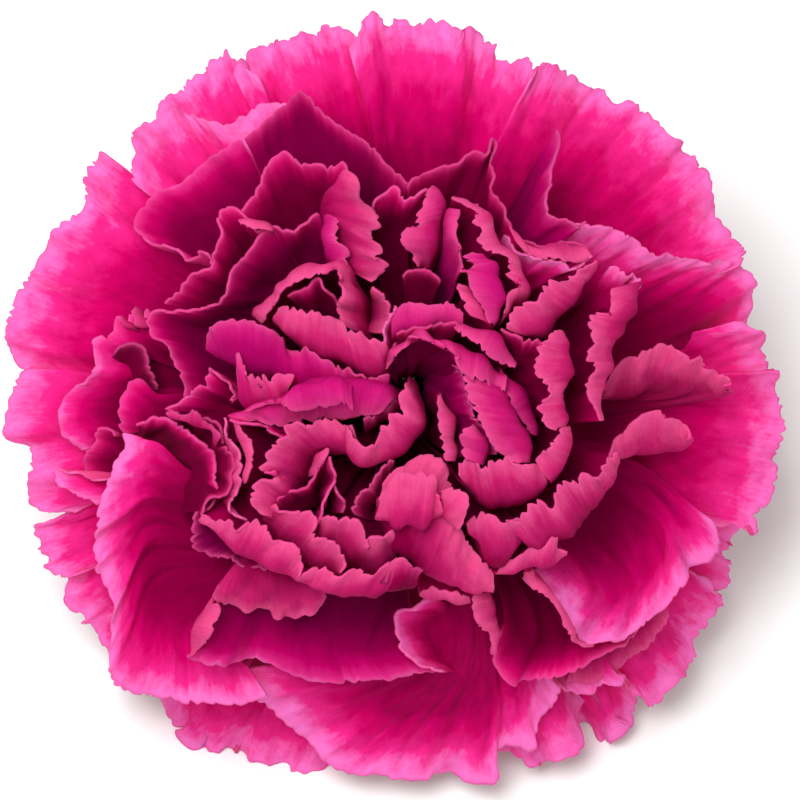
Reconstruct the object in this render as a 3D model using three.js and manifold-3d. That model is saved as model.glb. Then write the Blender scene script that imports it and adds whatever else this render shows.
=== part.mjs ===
// A cut carnation bloom, lying face up: stem stub, bracts, calyx, pistil and petals.
//
// Millimetres. The bloom is described in its own frame: +Z is its axis, from the stem up to the open
// face, +Y is the top of the face as it is looked at, and the origin is the foot of the calyx. At the
// end it is laid down: it leans forward until it rests on the stub's edge and two guard petals.
import * as THREE from 'three';
import { mergeVertices } from 'three/addons/utils/BufferGeometryUtils.js';
import Module from 'manifold-3d';

const wasm = await Module();
wasm.setup();

// Driving dimensions
const LEAN = 21.06;            // degrees that the bloom's axis leans forward as it rests
const SWAY = 0.14;             // degrees that it leans to its right
const PETAL_THICK = 0.7;
const TOOTH = 0.8;             // depth of the teeth cut in a petal's rim
const TOOTH_PITCH = 5;         // one step of the cut rim

const SIDES = 28;              // of every round piece but the calyx
// Outlines are [radius, height] pairs. The stem's runs from its cut end up to its flare.
const STEM_OUTLINE = [[0, -4], [2.3, -4], [2.3, -1.6], [3.1, -0.3], [3.3, 0], [0, 0]];

const CALYX_TEETH = 5;
const CALYX_TOOTH_FOOT = 21.8;
const CALYX_TOOTH_TIP = 26.2;
const CALYX_SIDES = 40;
const CALYX_FLOOR = [0.3, 1.6];   // heights of its underside and of its floor, on the axis
const CALYX_OUTSIDE = [[3.2, 0.3], [4.6, 1.2], [5.9, 4], [6.2, 9], [6.6, 16], [7.1, 21],
  [7.5, CALYX_TOOTH_TIP]];
const CALYX_INSIDE = [[6.7, CALYX_TOOTH_TIP + 0.1], [6.3, 21.1], [5.8, 16.1], [5.4, 9.1],
  [5.1, 4.1], [3.6, 2]];

const BRACTS = 4;
const BRACT_THICK = 0.7;
const COLLAR = [[3.6, -1.2], [4.4, -1.2], [4.4, -0.2], [3.6, -0.2], [3.6, -1.2]];
const BRACT_HALF_WIDTH = 39;   // degrees round the calyx
// radius, height and share of the full width, from the collar up to the tip
const BRACT_OUTLINE = [[4.1, -0.7, 0.8], [5.5, 0.3, 0.95], [6.6, 3, 1], [7, 6, 0.7], [7.25, 9, 0.12]];

// the bundle of claws that fills the calyx, and its domed top that the petals leave
const CORE_OUTLINE = [[0, 2.1], [3.3, 2.3], [4.6, 4.2], [4.9, 9], [5.3, 16], [5.8, 21], [6.2, 25.5],
  [6.4, 27.3], [9.5, 28.2], [13, 30], [14.5, 33], [13.5, 36.5], [9, 38.5], [0, 39.5]];

// the open middle that the pistil stands in
const WELL = [[0, 4.2], [2.6, 4.2], [2.6, 41], [0, 41]];
const OVARY_OUTLINE = [[0, 4.6], [1, 4.6], [1.9, 7], [1.9, 11], [1.1, 14.5], [0.7, 16], [0, 16]];
const STYLE_RADIUS = 0.45;
const STYLES = [
  [[0.3, 0.24, 14], [0.45, 0.36, 24], [1.05, 0.84, 33], [1.5, 1.2, 38]],
  [[0.08, 0.4, 14], [0.12, 0.6, 24], [0.28, 1.4, 33], [0.4, 2, 38]],
];

// Every petal is a sheet through rows of points, from its claw to its rim, each row from one side of
// the petal to the other. A guard is given by its rim and by the height of the sheet at GUARD_BEND of
// the way out. A middle petal has a bend row and a rim row, and leaves the mouth over a shoulder.
// A heart petal stands in the core, on a narrower copy of its brow set further in, and goes up to the
// brow, the line of its fold, and on to its rim.
const GUARD_BEND = 0.6;
const GUARD_CLAW = { radius: 4.8, height: 26.5, width: 3.2 };
const GUARD_SHOULDER = { radius: 9, height: 30, width: 7 };
const MIDDLE_CLAW = { radius: 4.4, height: 27.5, width: 3 };
const MIDDLE_SHOULDER = { radius: 8.6, height: 32, width: 6 };
const HEART_FOOT = { outward: 0.62, narrowing: 0.6, height: 33 };

const GUARDS = {
  north: [30, [[-4.6, 35.8, 25], [-3.4, 38.2, 22], [0.2, 38.2, 21], [3.8, 38, 23], [7.4, 36.9, 21],
    [10.3, 35.6, 22], [13.6, 33, 24]]],
  northLeft: [28.5, [[-16.8, 32.5, 23], [-14.8, 35.8, 20], [-11, 36.6, 22], [-8, 37, 19],
    [-4, 36.6, 21], [-1.5, 35.5, 22]]],
  northWestFront: [32, [[-28, 22.8, 27], [-27.3, 26, 26], [-24.6, 27.8, 28], [-22, 28.8, 26],
    [-18.4, 28.1, 29], [-14, 29.6, 29], [-11.5, 29.6, 30]]],
  northWestBack: [28.5, [[-25.5, 26, 24], [-24.1, 29.4, 21], [-21.3, 32, 22], [-18.8, 33.6, 20],
    [-16.8, 34.8, 20], [-14.2, 32.8, 23]]],
  westTop: [29.5, [[-31.5, 18.2, 25], [-32.2, 21.5, 22], [-30.1, 24.8, 22], [-27.6, 22.8, 25],
    [-25.6, 21, 28]]],
  westUpper: [28.5, [[-36.5, 1.5, 21], [-38.6, 5.6, 19], [-38.4, 9.8, 21], [-36.7, 13.9, 18],
    [-34.6, 17.4, 20], [-31.6, 19.2, 22]]],
  westLower: [29.5, [[-33, -11.4, 20.5], [-37.4, -10.2, 18], [-37.5, -5.5, 21], [-39.1, -2.5, 18.5],
    [-39, 1, 21], [-37.2, 3.4, 21]]],
  westSpur: [27, [[-32.9, -11.8, 18.5], [-37.4, -13.3, 14.5], [-36.4, -15.6, 16], [-35, -17.4, 13.5],
    [-32.4, -17.8, 16.5]]],
  southWest: [27, [[-32, -17.2, 17.5], [-34, -19.3, 13], [-32.4, -22.4, 13.5], [-30.3, -24.8, 11],
    [-28.9, -27.2, 12.5], [-26.5, -28.5, 14.5]]],
  southSouthWest: [25.5, [[-25.2, -29.4, 11], [-23, -32.4, 7], [-20.8, -34.4, 7], [-18, -35.7, 12],
    [-15, -36.9, 13], [-11, -38, 12], [-7, -37.6, 14]]],
  southFlap: [28.5, [[9, -33.2, 19], [11, -34.9, 17], [13.7, -35.2, 16], [14, -32.4, 18],
    [16, -29.3, 20], [15.8, -27.6, 22.5]]],
  southSouthEast: [26, [[8.6, -34.6, 15], [11.4, -35.8, 13], [13.2, -36.6, 12], [16, -35.9, 14],
    [18.1, -35, 12], [18, -31, 15]]],
  southEastTip: [25.5, [[18, -30.6, 13], [19.8, -34.4, 7], [21.4, -34, 7], [22.6, -32.8, 10],
    [23.6, -32, 10], [23.7, -29.4, 13], [22.2, -28.2, 15.5]]],
  southEast: [27.5, [[22.6, -28.4, 16.5], [24.8, -30.3, 12], [27.5, -28.4, 14.5], [30, -25.6, 12],
    [31.5, -22.8, 14.5], [32.5, -20.6, 13], [31.2, -18.6, 17.5]]],
  eastLow: [27, [[31, -19.2, 15], [33.4, -18.8, 13], [33.3, -16.2, 16], [34.2, -14.4, 15],
    [33.6, -12.6, 17.5]]],
  east: [29, [[31.8, -12.3, 22.5], [35.4, -12.4, 18.5], [37.2, -9.4, 21], [37.9, -6.5, 18.5],
    [39, -2, 21.5], [38.6, 0.2, 20], [37.8, 3, 22]]],
  eastUpper: [28.5, [[38, -1.5, 18.5], [37.4, 2.6, 20], [36.7, 6.4, 20], [34, 8, 23]]],
  northEast: [29.5, [[34.4, 13.2, 23], [34.6, 15.8, 21], [32.4, 19.6, 22], [30.4, 22.8, 19],
    [27.6, 25.8, 21], [24, 29, 18], [19.5, 32, 20], [15, 33.9, 21], [12.5, 32.4, 24]]],
};

const MIDDLE = {
  south: [[[2.8, -20, 35], [3.4, -22, 29], [6, -22.5, 28], [8.4, -22, 29], [9.2, -20, 36]],
    [[0.4, -24, 30], [2.6, -26, 27.5], [5.4, -26.6, 26.5], [8, -26, 27.5], [9.8, -24.4, 30.5]],
    [[-13.4, -30.6, 20], [-9.5, -34.6, 17], [-5.6, -37.4, 14], [-1, -38.2, 16], [3.5, -38.2, 14],
      [9.4, -38.4, 15]]],
  southLeft: [[[-13.5, -14.5, 31], [-11, -17, 29.5], [-7, -18.5, 29], [-3, -18.5, 29],
    [0.5, -17, 30.5]],
  [[-21.4, -25.7, 27], [-17, -26.4, 26], [-12.6, -26.7, 25], [-9, -28, 25], [-4.5, -28.2, 26],
    [0, -27.7, 26], [3.9, -27.1, 26]]],
  southCorner: [[[-21, -25.2, 28], [-19.8, -22, 30], [-19, -19.6, 32]],
    [[-19.6, -24.6, 30.5], [-18, -22.6, 32], [-17.8, -20.4, 33]]],
  southFringe: [[[-17, -17.5, 36], [-14, -17, 37], [-10, -17.5, 37], [-7.5, -18.3, 36]],
    [[-18.8, -19.7, 33], [-15, -21, 32.5], [-10.6, -21.9, 32], [-7.3, -19.8, 34]]],
  southWestBowl: [[[-17, -2.5, 30], [-19.5, -6, 29.5], [-21, -10, 29], [-20.5, -14, 28],
    [-18.5, -17.5, 27.5], [-15, -20, 28], [-11, -21, 29]],
  [[-27.8, -3.2, 31], [-28.4, -6.2, 30], [-30, -10.5, 28], [-30.6, -15.6, 26], [-29.3, -20, 24],
    [-29, -26.6, 20], [-25, -30, 20], [-19.6, -30.6, 22], [-13.2, -29.6, 24]]],
  westWing: [[[-19.5, 4, 30], [-21, 1.5, 29], [-21.5, -1, 29], [-21, -3.5, 29]],
    [[-29.3, 6.6, 29], [-30.6, 3.6, 28], [-33.6, 0.8, 24], [-34.2, -1.8, 23], [-31.5, -5.4, 25]]],
  westSpike: [[[-20, -3.5, 29], [-20.8, -6, 28.5]],
    [[-30, -2.9, 29], [-31.4, -6, 26], [-34.7, -7.5, 22], [-32.4, -9.6, 24], [-29.8, -10.1, 26]]],
  westCrumple: [[[-20, 3, 32], [-20, 5, 32], [-19.5, 7, 32.5]],
    [[-29.4, 5.8, 30.5], [-28.4, 8.8, 31.5], [-27, 8.8, 32], [-25.2, 9.9, 33]]],
  westLine: [[[-20, 6, 31.5], [-19.5, 3.5, 31.5], [-19, 1, 31.5]],
    [[-27.6, 5.8, 33], [-26, 4.9, 34], [-24.8, 2.8, 34], [-24, 0, 33]]],
  westRound: [[[-20, -3, 31], [-20, -0.5, 31], [-19.5, 1.5, 31]],
    [[-27.9, -2.8, 32], [-27.7, 0, 33], [-26.6, 2, 34], [-25, 2.2, 34]]],
  westCup: [[[-15, -0.5, 33], [-15.5, 2, 33], [-16.5, 5, 33.5], [-15.5, 8, 34.5], [-13, 10.5, 35.5],
    [-9, 13, 37], [-6.5, 14, 38]],
  [[-21.5, -0.4, 36], [-21.8, 2.4, 37], [-22.8, 5, 38], [-25, 7.4, 39], [-20.5, 9.1, 41],
    [-17.4, 11, 42], [-15, 15, 42], [-12.4, 16.5, 43], [-8, 18.4, 43]]],
  starLeft: [[[-15.5, 7.5, 33], [-15, 9.5, 34], [-14, 11.5, 35], [-12.5, 12.5, 36], [-10.5, 12.5, 37]],
    [[-23.6, 9.4, 36], [-21.5, 11.2, 38], [-18.9, 13.4, 40], [-18.2, 16, 41], [-17.4, 18.7, 42],
      [-14.8, 17.2, 42], [-12.8, 16.6, 42]]],
  starTop: [[[-10.5, 12, 35], [-9.5, 14, 35], [-8, 15.5, 35.5], [-6, 16, 36], [-4, 15.5, 37]],
    [[-16.4, 18.4, 40], [-14.4, 20.4, 41], [-12, 24.5, 40], [-8, 23.2, 41], [-5.4, 23.8, 41],
      [-4.6, 21.6, 42]]],
  northWestCup: [[[-13, 9.5, 32], [-14.5, 11.5, 31.5], [-15.5, 13, 31.5], [-15, 14.5, 32],
    [-13.5, 16, 32.5], [-11.5, 17.5, 33]],
  [[-18.6, 13.2, 35], [-19.6, 15, 35], [-21.4, 14.5, 34], [-26.3, 16.9, 30], [-26.2, 19, 30],
    [-20, 23.4, 33], [-16, 26, 34]]],
  northFold: [[[-8, 14, 34], [-6.5, 16.5, 34], [-4.5, 17.5, 35], [-2.5, 17.3, 36], [-0.5, 15.5, 37]],
    [[-14, 25.5, 36], [-10.6, 30.4, 35], [-7, 28, 37], [-4, 26, 38], [-1, 23.6, 39],
      [0.6, 21.4, 40]]],
  northErect: [[[1, 14, 36], [4, 15, 36], [6.5, 15, 36], [8, 13.5, 36], [9.5, 12, 37],
    [11.5, 11, 37]],
  [[0.8, 21.2, 41], [3.5, 22.8, 42], [6.5, 23.8, 42], [9.4, 26, 41], [9.8, 21, 40.5],
    [12, 16, 41], [17, 15.4, 40], [18.7, 14.6, 40]]],
  purpleFold: [[[9.5, 17, 33], [10, 15.5, 34], [10.5, 14, 35], [11, 12.5, 36]],
    [[15.6, 27.2, 34], [15.9, 25.6, 35], [14.8, 21, 38], [15.1, 18, 39], [16.4, 17.6, 39]]],
  eastFan: [[[12.5, 11.5, 34], [16, 11.5, 33.5], [20, 10, 32], [23.5, 8.5, 30], [25.5, 6.5, 28.5],
    [24.5, 4, 29]],
  [[16.5, 17.6, 37], [20, 17.4, 37], [24, 15.6, 33], [27, 14.2, 30], [31, 14, 26], [34.6, 13.3, 20],
    [35.2, 10.5, 18], [34.8, 7.6, 18]]],
  eastFoldHigh: [[[19.6, 1, 34], [22.5, 0.4, 33], [26, 0.7, 31], [29.5, 0.8, 29], [33, 0.9, 27]],
    [[20.6, 2.6, 36], [23.3, 4.6, 36], [26.2, 5.5, 35], [28.6, 4.4, 34], [32.8, 2.2, 30]]],
  eastFoldLow: [[[20.9, -7.6, 35], [21.6, -5.9, 34.5], [24.2, -5.5, 33], [27, -5, 32],
    [28.4, -4.2, 31]],
  [[20.3, -5.8, 36.5], [21.9, -3.7, 36.5], [23.8, -1.6, 36], [25.9, -0.9, 35], [28.2, -2.4, 33]]],
  southEastBowl: [[[19, -4.5, 30], [21, -8.5, 28.5], [21.5, -12.5, 28], [20, -15.5, 28],
    [17.5, -18, 28], [14.5, -19.5, 28.5], [11.5, -19.5, 29], [8.5, -18, 30]],
  [[30.5, -12.2, 27], [32.1, -14, 25], [31, -16.3, 25], [28.8, -17.2, 27], [26.6, -20.6, 27],
    [22, -24.3, 27], [15, -27.9, 25], [10.8, -28.5, 25], [9.3, -25.4, 27]]],
  southEastTongue: [[[13, -13, 36], [16, -14.5, 36], [18.5, -15.5, 35], [20.5, -16.5, 34],
    [24, -17, 31]],
  [[12.4, -17.6, 36], [14.6, -19.1, 36], [16.4, -22, 33.5], [18.6, -24.3, 31], [21.5, -24.1, 30],
    [24, -22, 30]]],
};

const HEART = {
  westLobe: [[[-14.7, 8.5, 42], [-12.5, 11.2, 44], [-9.5, 13, 45], [-6.5, 13.6, 45], [-4.6, 11.8, 45],
    [-3.9, 9.5, 44]],
  [[-13.9, 7.5, 43], [-11.4, 10.2, 45], [-8.6, 11.9, 46], [-6.6, 12.6, 46], [-5.6, 11.4, 46],
    [-6.2, 9.8, 45]]],
  westInner: [[[-8.5, 6.5, 39], [-7, 7.5, 39], [-6, 7.5, 39], [-5, 7, 39]],
    [[-11, 10.6, 44], [-9.2, 10.9, 44.5], [-8.2, 11.7, 44.5], [-6.4, 9.4, 44]]],
  northCurl: [[[-6, 13.2, 43], [-6.4, 17, 44], [-7.6, 19.4, 44], [-5.5, 22.6, 43]],
    [[-2.4, 11.5, 44], [-1.2, 13.6, 45], [-2, 16.8, 45], [-3.4, 19.6, 44], [-4, 21.6, 43]]],
  westBand: [[[-12.8, 7.2, 43], [-9.5, 5.6, 44.5], [-6.5, 3.8, 45], [-2.5, 2.4, 44.5]],
    [[-12.6, 8.4, 44], [-10.4, 9.3, 45], [-7.7, 8.5, 45.5], [-5.2, 7, 45.5], [-2, 5.8, 45]]],
  westTongue: [[[-18.6, 3.6, 41], [-14.5, 3.6, 43], [-10, 2.8, 44], [-6, 1.8, 44.5],
    [-2.6, 0.8, 44]],
  [[-19.3, 6.4, 41], [-16.6, 8.2, 43], [-13.4, 7.2, 44], [-10.6, 5.2, 45], [-6, 3.6, 46],
    [-2.4, 2.2, 45]]],
  westFringe: [[[-17, -0.6, 42], [-14, -0.4, 44], [-11, 0.2, 45], [-8, 0.6, 45]],
    [[-16.4, 3.4, 43], [-14, 2.2, 44], [-12, 2.6, 45], [-8, 2.2, 45]]],
  westEdge: [[[-16, -2, 35], [-15, -1, 36], [-14, 0.5, 36], [-13.5, 1.5, 37]],
    [[-23.4, -0.9, 37], [-21.5, -0.1, 38], [-19.5, 1.9, 40], [-18.6, 3, 40.5]]],
  westFrill: [[[-23, -1.9, 36], [-21, -2.7, 37], [-19, -3.8, 38], [-17.6, -5.2, 39.5],
    [-16.6, -7.5, 40]],
  [[-23.4, -1.3, 36.5], [-21.2, -1.7, 37.5], [-19.3, -1.1, 38.5], [-17.6, -2.4, 40],
    [-16.9, -4.5, 41]]],
  westHoop: [[[-23.5, -3.6, 32], [-21.8, -4.8, 32], [-20.8, -6.5, 32], [-20.8, -8.5, 32],
    [-21, -11, 32]],
  [[-24.3, -1.8, 35], [-21.6, -2.6, 37], [-19.4, -4.2, 38.5], [-18.3, -6.4, 39], [-18.5, -9.2, 39],
    [-20, -11, 38]]],
  innerHoop: [[[-13, -3, 37], [-12.5, -5, 37], [-12.5, -7.5, 37], [-12.5, -9.5, 37]],
    [[-17.2, -1.6, 41], [-16.3, -5, 42], [-15.9, -8.5, 42], [-16.6, -10.6, 41.5]]],
  paleHoop: [[[-16.4, -2.6, 42.5], [-15.4, -6, 43], [-15, -8.5, 43], [-14.6, -9.8, 42]],
    [[-15.6, -3.2, 44], [-14.5, -4.4, 44.5], [-14.6, -6.6, 44.5], [-14.2, -8.4, 43.5]]],
  hollowWall: [[[-9, -3.5, 38], [-9.8, -4.5, 38], [-10.4, -6, 38], [-10.2, -7.4, 38]],
    [[-10.6, -2.2, 43], [-11, -3.8, 43], [-13, -5.2, 43], [-13.6, -7, 42.5], [-12.6, -8.6, 42]]],
  hood: [[[-17, -1.5, 43], [-13.5, -0.5, 45], [-10, 1.3, 46], [-6, 2, 46.5], [-2.5, 1.2, 46.5],
    [-0.8, -0.5, 46]],
  [[-15, -3, 43.5], [-11, -0.8, 45], [-8, -1, 45.5], [-5.7, -0.5, 45.5], [-3, -1, 45]]],
  centreCurl: [[[-5.6, -3.5, 42.5], [-4, -6, 43], [-1, -6.1, 43.5], [1.2, -4.2, 44],
    [2.1, -1.8, 44.5], [0.9, 1.7, 44]],
  [[-5, -2.2, 43.5], [-3.9, -3.9, 44.5], [-2, -4, 45], [-1.1, -1.9, 45.5], [0, -0.8, 45.5],
    [0.7, 1.2, 45]]],
  lowRidge: [[[-9, -9, 38], [-8, -8.3, 38], [-6.8, -7.2, 38], [-5.5, -5.5, 39]],
    [[-12.5, -10.2, 42], [-10, -8.8, 42.5], [-8.2, -7.2, 43], [-6.8, -5, 43.5]]],
  lowCurl: [[[-12.3, -11.4, 42], [-11.8, -13, 42], [-10.4, -14.4, 42], [-8, -16.5, 41]],
    [[-12.4, -10.1, 43], [-10.4, -10.9, 44], [-8.5, -12.2, 44], [-7, -13.8, 44], [-6, -16.6, 43]]],
  lowArch: [[[-6, -9, 38], [-4.8, -8.7, 38], [-3.6, -9, 38], [-2.6, -9.6, 38]],
    [[-7.5, -12, 42], [-6, -11.2, 43], [-4, -11.6, 43], [-3.4, -14, 42.5], [-1.4, -14, 42]]],
  lowBlade: [[[-3.4, -7.5, 38.5], [-2.6, -6.4, 38.5], [-1.6, -5, 39]],
    [[-5.4, -11, 41.5], [-4.6, -10, 42], [-3, -8.3, 42.5], [-1.2, -5.8, 43]]],
  lowerBand: [[[-20.2, -11.7, 38], [-17.4, -14.4, 40], [-14.2, -16, 41], [-10.6, -18.2, 41]],
    [[-19.6, -11.6, 39], [-17, -11.8, 41.5], [-14.6, -11.8, 43], [-12, -13.8, 43.5],
      [-9.9, -15.4, 43], [-9.8, -17.2, 42]]],
  lowerCorner: [[[-14, -10, 33], [-14.5, -11.5, 32.5], [-13.5, -13, 32.5], [-12, -13.5, 33.5]],
    [[-20, -11.5, 37], [-21.3, -14.6, 35], [-19.6, -16, 35], [-16, -16.8, 37], [-13.4, -17.2, 38]]],
  southBand: [[[-10.4, -18.3, 41], [-7, -19.4, 41.5], [-3, -20, 41.5], [1, -19.6, 41]],
    [[-10, -17, 42.5], [-7.6, -16.5, 43.5], [-4, -16.6, 44], [-0.4, -15.4, 44], [1.8, -16.8, 43]]],
  northLobe: [[[3, 14.5, 43], [4.1, 17.8, 44], [4.2, 20, 44], [2.8, 21.2, 43]],
    [[1.7, 13.4, 44], [-0.1, 15.4, 45], [0.8, 17.3, 45.5], [2.4, 19.6, 44.5]]],
  northEdge: [[[-2, 14, 38], [-0.5, 14.5, 38], [1, 14.5, 38]],
    [[-2.6, 19.4, 42], [-0.6, 21, 42], [1.6, 20.6, 42.5], [3, 20.8, 42.5]]],
  northInner: [[[0.5, 9, 40], [1.8, 9.2, 40], [2.8, 8.6, 40]],
    [[0.7, 12.6, 44], [2.7, 13.2, 44.5], [3.8, 12, 44.5]]],
  northBlade: [[[2.8, 11, 40], [3.4, 10.5, 40], [4, 10, 40], [4.6, 9.3, 40]],
    [[4.6, 19, 43.5], [4.9, 16.4, 44], [5.4, 14.6, 44.5], [6.6, 13.1, 44.5]]],
  northEastCurl: [[[5.4, 20.4, 43], [8.4, 18.8, 44], [9.7, 16, 45], [11.4, 13.9, 45],
    [12.7, 11.6, 45], [11.9, 9.6, 44.5], [10, 7.8, 44]],
  [[5, 19.9, 43.5], [7.2, 17.7, 45], [7.8, 15.3, 46], [10.8, 13.6, 46.5], [11.2, 11.2, 46.5],
    [10.5, 9.2, 46], [9.6, 8.2, 45.5]]],
  northEastInner: [[[7.2, 14.4, 45.5], [9.2, 13, 46], [10.1, 10.4, 46.5], [9.2, 7.7, 46]],
    [[6.1, 13.9, 46], [6.1, 12.4, 47], [7.3, 10.9, 47.5], [8.8, 8.2, 47]]],
  northEastLeaf: [[[6.2, 11.2, 46.5], [8, 8.9, 47], [9, 7.5, 46.5]],
    [[5.3, 11.6, 47], [6.2, 9.4, 47.5], [6.6, 8.4, 47]]],
  centreBand: [[[-0.6, 7.4, 43.5], [1.6, 7.6, 44.5], [3.8, 8, 45], [6, 7.8, 45.5]],
    [[-0.8, 9, 44], [1.3, 9.8, 45], [3.4, 9.6, 45.5], [5.8, 9.4, 46]]],
  centreRoof: [[[-0.2, 6.6, 44.5], [3.5, 7.4, 46], [7.8, 7, 47], [10, 5.4, 47], [12.2, 3.4, 46]],
    [[1.5, 6.2, 45], [4.6, 6.6, 46.5], [6.6, 6, 47.5], [8.6, 4.4, 47.5], [11.2, 2.5, 46.5]]],
  centreFold: [[[-0.8, 5, 44], [1.5, 6, 45], [5, 5.4, 46.5], [8.5, 3.9, 47], [11, 2.2, 47],
    [12.8, -0.8, 46]],
  [[0.5, 4.2, 44.5], [4.6, 4.3, 46.5], [6.6, 3, 47.5], [9.5, 1, 47.5], [11.4, -1.4, 46.5]]],
  eastTongue: [[[9.6, 2.4, 47], [11.4, -0.6, 47], [12.7, -3.6, 46], [13.2, -5.6, 45]],
    [[6.4, 2.6, 47.5], [6.6, -0.4, 48], [8, -3, 47.5], [10, -5.4, 46.5]]],
  eastLeaf: [[[8.4, -6.4, 45], [8.6, -4.8, 45.5], [7.4, -2.3, 46]],
    [[5.9, -5.6, 45], [5.8, -4, 45.5], [6.8, -2.4, 46]]],
  eastCurl: [[[16.3, 6.4, 44], [17.4, 3.4, 45], [17.2, 1.2, 45.5], [16.2, -2.2, 45]],
    [[15.3, 6.9, 45], [13.3, 4.2, 46.5], [13.8, 1.6, 47], [13.9, -0.6, 47], [14.8, -2.7, 46]]],
  eastHook: [[[16.6, -2.4, 44.5], [16.9, -5, 44.5], [15, -7.6, 44]],
    [[16, -2.6, 45.5], [14.8, -3.8, 46], [13.4, -3.7, 46], [13.6, -6.4, 45]]],
  eastWall: [[[23.8, 12.2, 39], [23.4, 9.4, 40.5], [22, 5.4, 42], [20.3, 0, 43]],
    [[20.8, 11, 41], [19.4, 8.4, 43], [18.7, 5.4, 44.5], [18.6, 1.6, 45], [19.8, -2, 44]]],
  eastEdge: [[[15, 9, 36], [16, 8.6, 36], [16.8, 7.8, 36], [17, 7, 36]],
    [[20.6, 13.3, 39], [22, 13.2, 39], [23.2, 12.2, 39.5], [23.6, 11, 40]]],
  eastRoof: [[[19.4, 14, 42], [19.6, 12.4, 42.5], [17.2, 9.2, 44], [14.8, 7.4, 45]],
    [[18.8, 13.2, 43.5], [16, 11.9, 45], [13.8, 10.8, 46], [11, 9, 46.5], [10.2, 7.3, 46]]],
  northEastEdge: [[[7.5, 11.5, 39], [8.5, 10.5, 39.5], [10, 9.5, 40], [11.5, 9, 40]],
    [[10, 16.5, 42], [12.5, 14.4, 43], [15.6, 13.6, 43], [19.4, 14, 42]]],
  eastInner: [[[8, 4, 42], [9, 3.8, 42], [10, 3.4, 42]],
    [[10, 6.7, 46], [12.2, 6.4, 46.5], [14.6, 6.1, 46]]],
  southEastFringe: [[[6.4, -8.4, 43.5], [7.8, -10.4, 43], [10.4, -11, 43], [12.6, -10, 43.5],
    [15, -7.8, 43.5]],
  [[5.5, -6.8, 44.5], [7.6, -6, 45.5], [10, -5.4, 46], [12.4, -6, 46], [14.4, -7.3, 45]]],
  southEastBand: [[[21.2, -8.8, 39.5], [19.6, -10.6, 40.5], [16.8, -13.2, 41.5], [14.8, -14.2, 42]],
    [[21, -5, 40], [18.6, -7.3, 43], [15.4, -8.4, 44.5], [13.2, -9.5, 45], [11, -11.3, 44.5],
      [10.2, -12, 44]]],
  southDome: [[[-1.9, -12, 42.5], [-0.8, -14.8, 41.5], [2, -16.8, 41], [5, -18.3, 40.5],
    [9.2, -19.2, 39.5]],
  [[-0.8, -8, 44], [0.4, -6.2, 44.5], [3.4, -5.4, 45.5], [5, -7.6, 45.5], [6.9, -9.6, 45],
    [6.4, -12.8, 44]]],
  southEastScale: [[[7.4, -14.8, 42], [9, -16.4, 41.5], [11, -16, 41.5], [12.2, -13.4, 42.5]],
    [[6.5, -12, 44], [8.2, -11, 45], [10.4, -11.8, 45], [12.2, -11.2, 44.5]]],
  southEastLeaf: [[[10.4, -17.3, 40.5], [13.2, -16.6, 41], [16.5, -15.4, 40.5]],
    [[11, -15.9, 42], [13.2, -14.6, 42.5], [15.6, -13.3, 42]]],
  southLip: [[[9.2, -19, 37], [9.8, -23.4, 34], [9.4, -25.4, 31]],
    [[6.8, -19.4, 38], [7.1, -21.5, 36.5], [8.2, -23.6, 34]]],
  deepLeaf: [[[2.4, -2.4, 34], [3, -2.6, 34], [3.5, -3, 34]],
    [[3.3, -4.4, 39], [4, -2.5, 40], [5.4, -5.5, 39]]],
};

const material = (name, colour, roughness) =>
  new THREE.MeshStandardMaterial({ name, color: colour, roughness, metalness: 0 });
const STEM_GREEN = material('stem', '#7d9a57', 0.6);
const CALYX_GREEN = material('calyx', '#6f9152', 0.55);
const OVARY_GREEN = material('pistil', '#a9bf6e', 0.6);
const PETAL_PINK = material('petal', '#c81f78', 0.7);

// A solid of revolution about the bloom's axis, from [radius, height] pairs.
function turned(outline, sides) {
  const profile = outline.map(([radius, height]) => new THREE.Vector2(radius, height));
  return new THREE.LatheGeometry(profile, sides).rotateX(Math.PI / 2);
}

// A closed sheet of even thickness on a grid of points, with both faces split alike.
function sheet(grid, thickness) {
  const rows = grid.length;
  const columns = grid[0].length;
  const at = (row, column) => grid[Math.min(Math.max(row, 0), rows - 1)][
    Math.min(Math.max(column, 0), columns - 1)];
  const positions = [];
  for (const side of [0.5, -0.5]) {
    for (let row = 0; row < rows; row++) {
      for (let column = 0; column < columns; column++) {
        const along = at(row + 1, column).clone().sub(at(row - 1, column));
        const across = at(row, column + 1).clone().sub(at(row, column - 1));
        const normal = across.cross(along).normalize();
        const point = at(row, column).clone().addScaledVector(normal, side * thickness);
        positions.push(point.x, point.y, point.z);
      }
    }
  }
  const index = [];
  const back = rows * columns;
  const quad = (a, b, c, d) => index.push(a, b, c, a, c, d);
  for (let row = 0; row < rows - 1; row++) {
    for (let column = 0; column < columns - 1; column++) {
      const a = row * columns + column;
      quad(a, a + 1, a + columns + 1, a + columns);
      index.push(back + a, back + a + columns + 1, back + a + 1);
      index.push(back + a, back + a + columns, back + a + columns + 1);
    }
  }
  const border = [];
  for (let column = 0; column < columns - 1; column++) border.push(column);
  for (let row = 0; row < rows - 1; row++) border.push(row * columns + columns - 1);
  for (let column = columns - 1; column > 0; column--) border.push((rows - 1) * columns + column);
  for (let row = rows - 1; row > 0; row--) border.push(row * columns);
  border.forEach((from, step) => {
    const to = border[(step + 1) % border.length];
    quad(from, from + back, to + back, to);
  });
  const geometry = new THREE.BufferGeometry();
  geometry.setAttribute('position', new THREE.Float32BufferAttribute(positions, 3));
  geometry.setIndex(index);
  return geometry;
}

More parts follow.
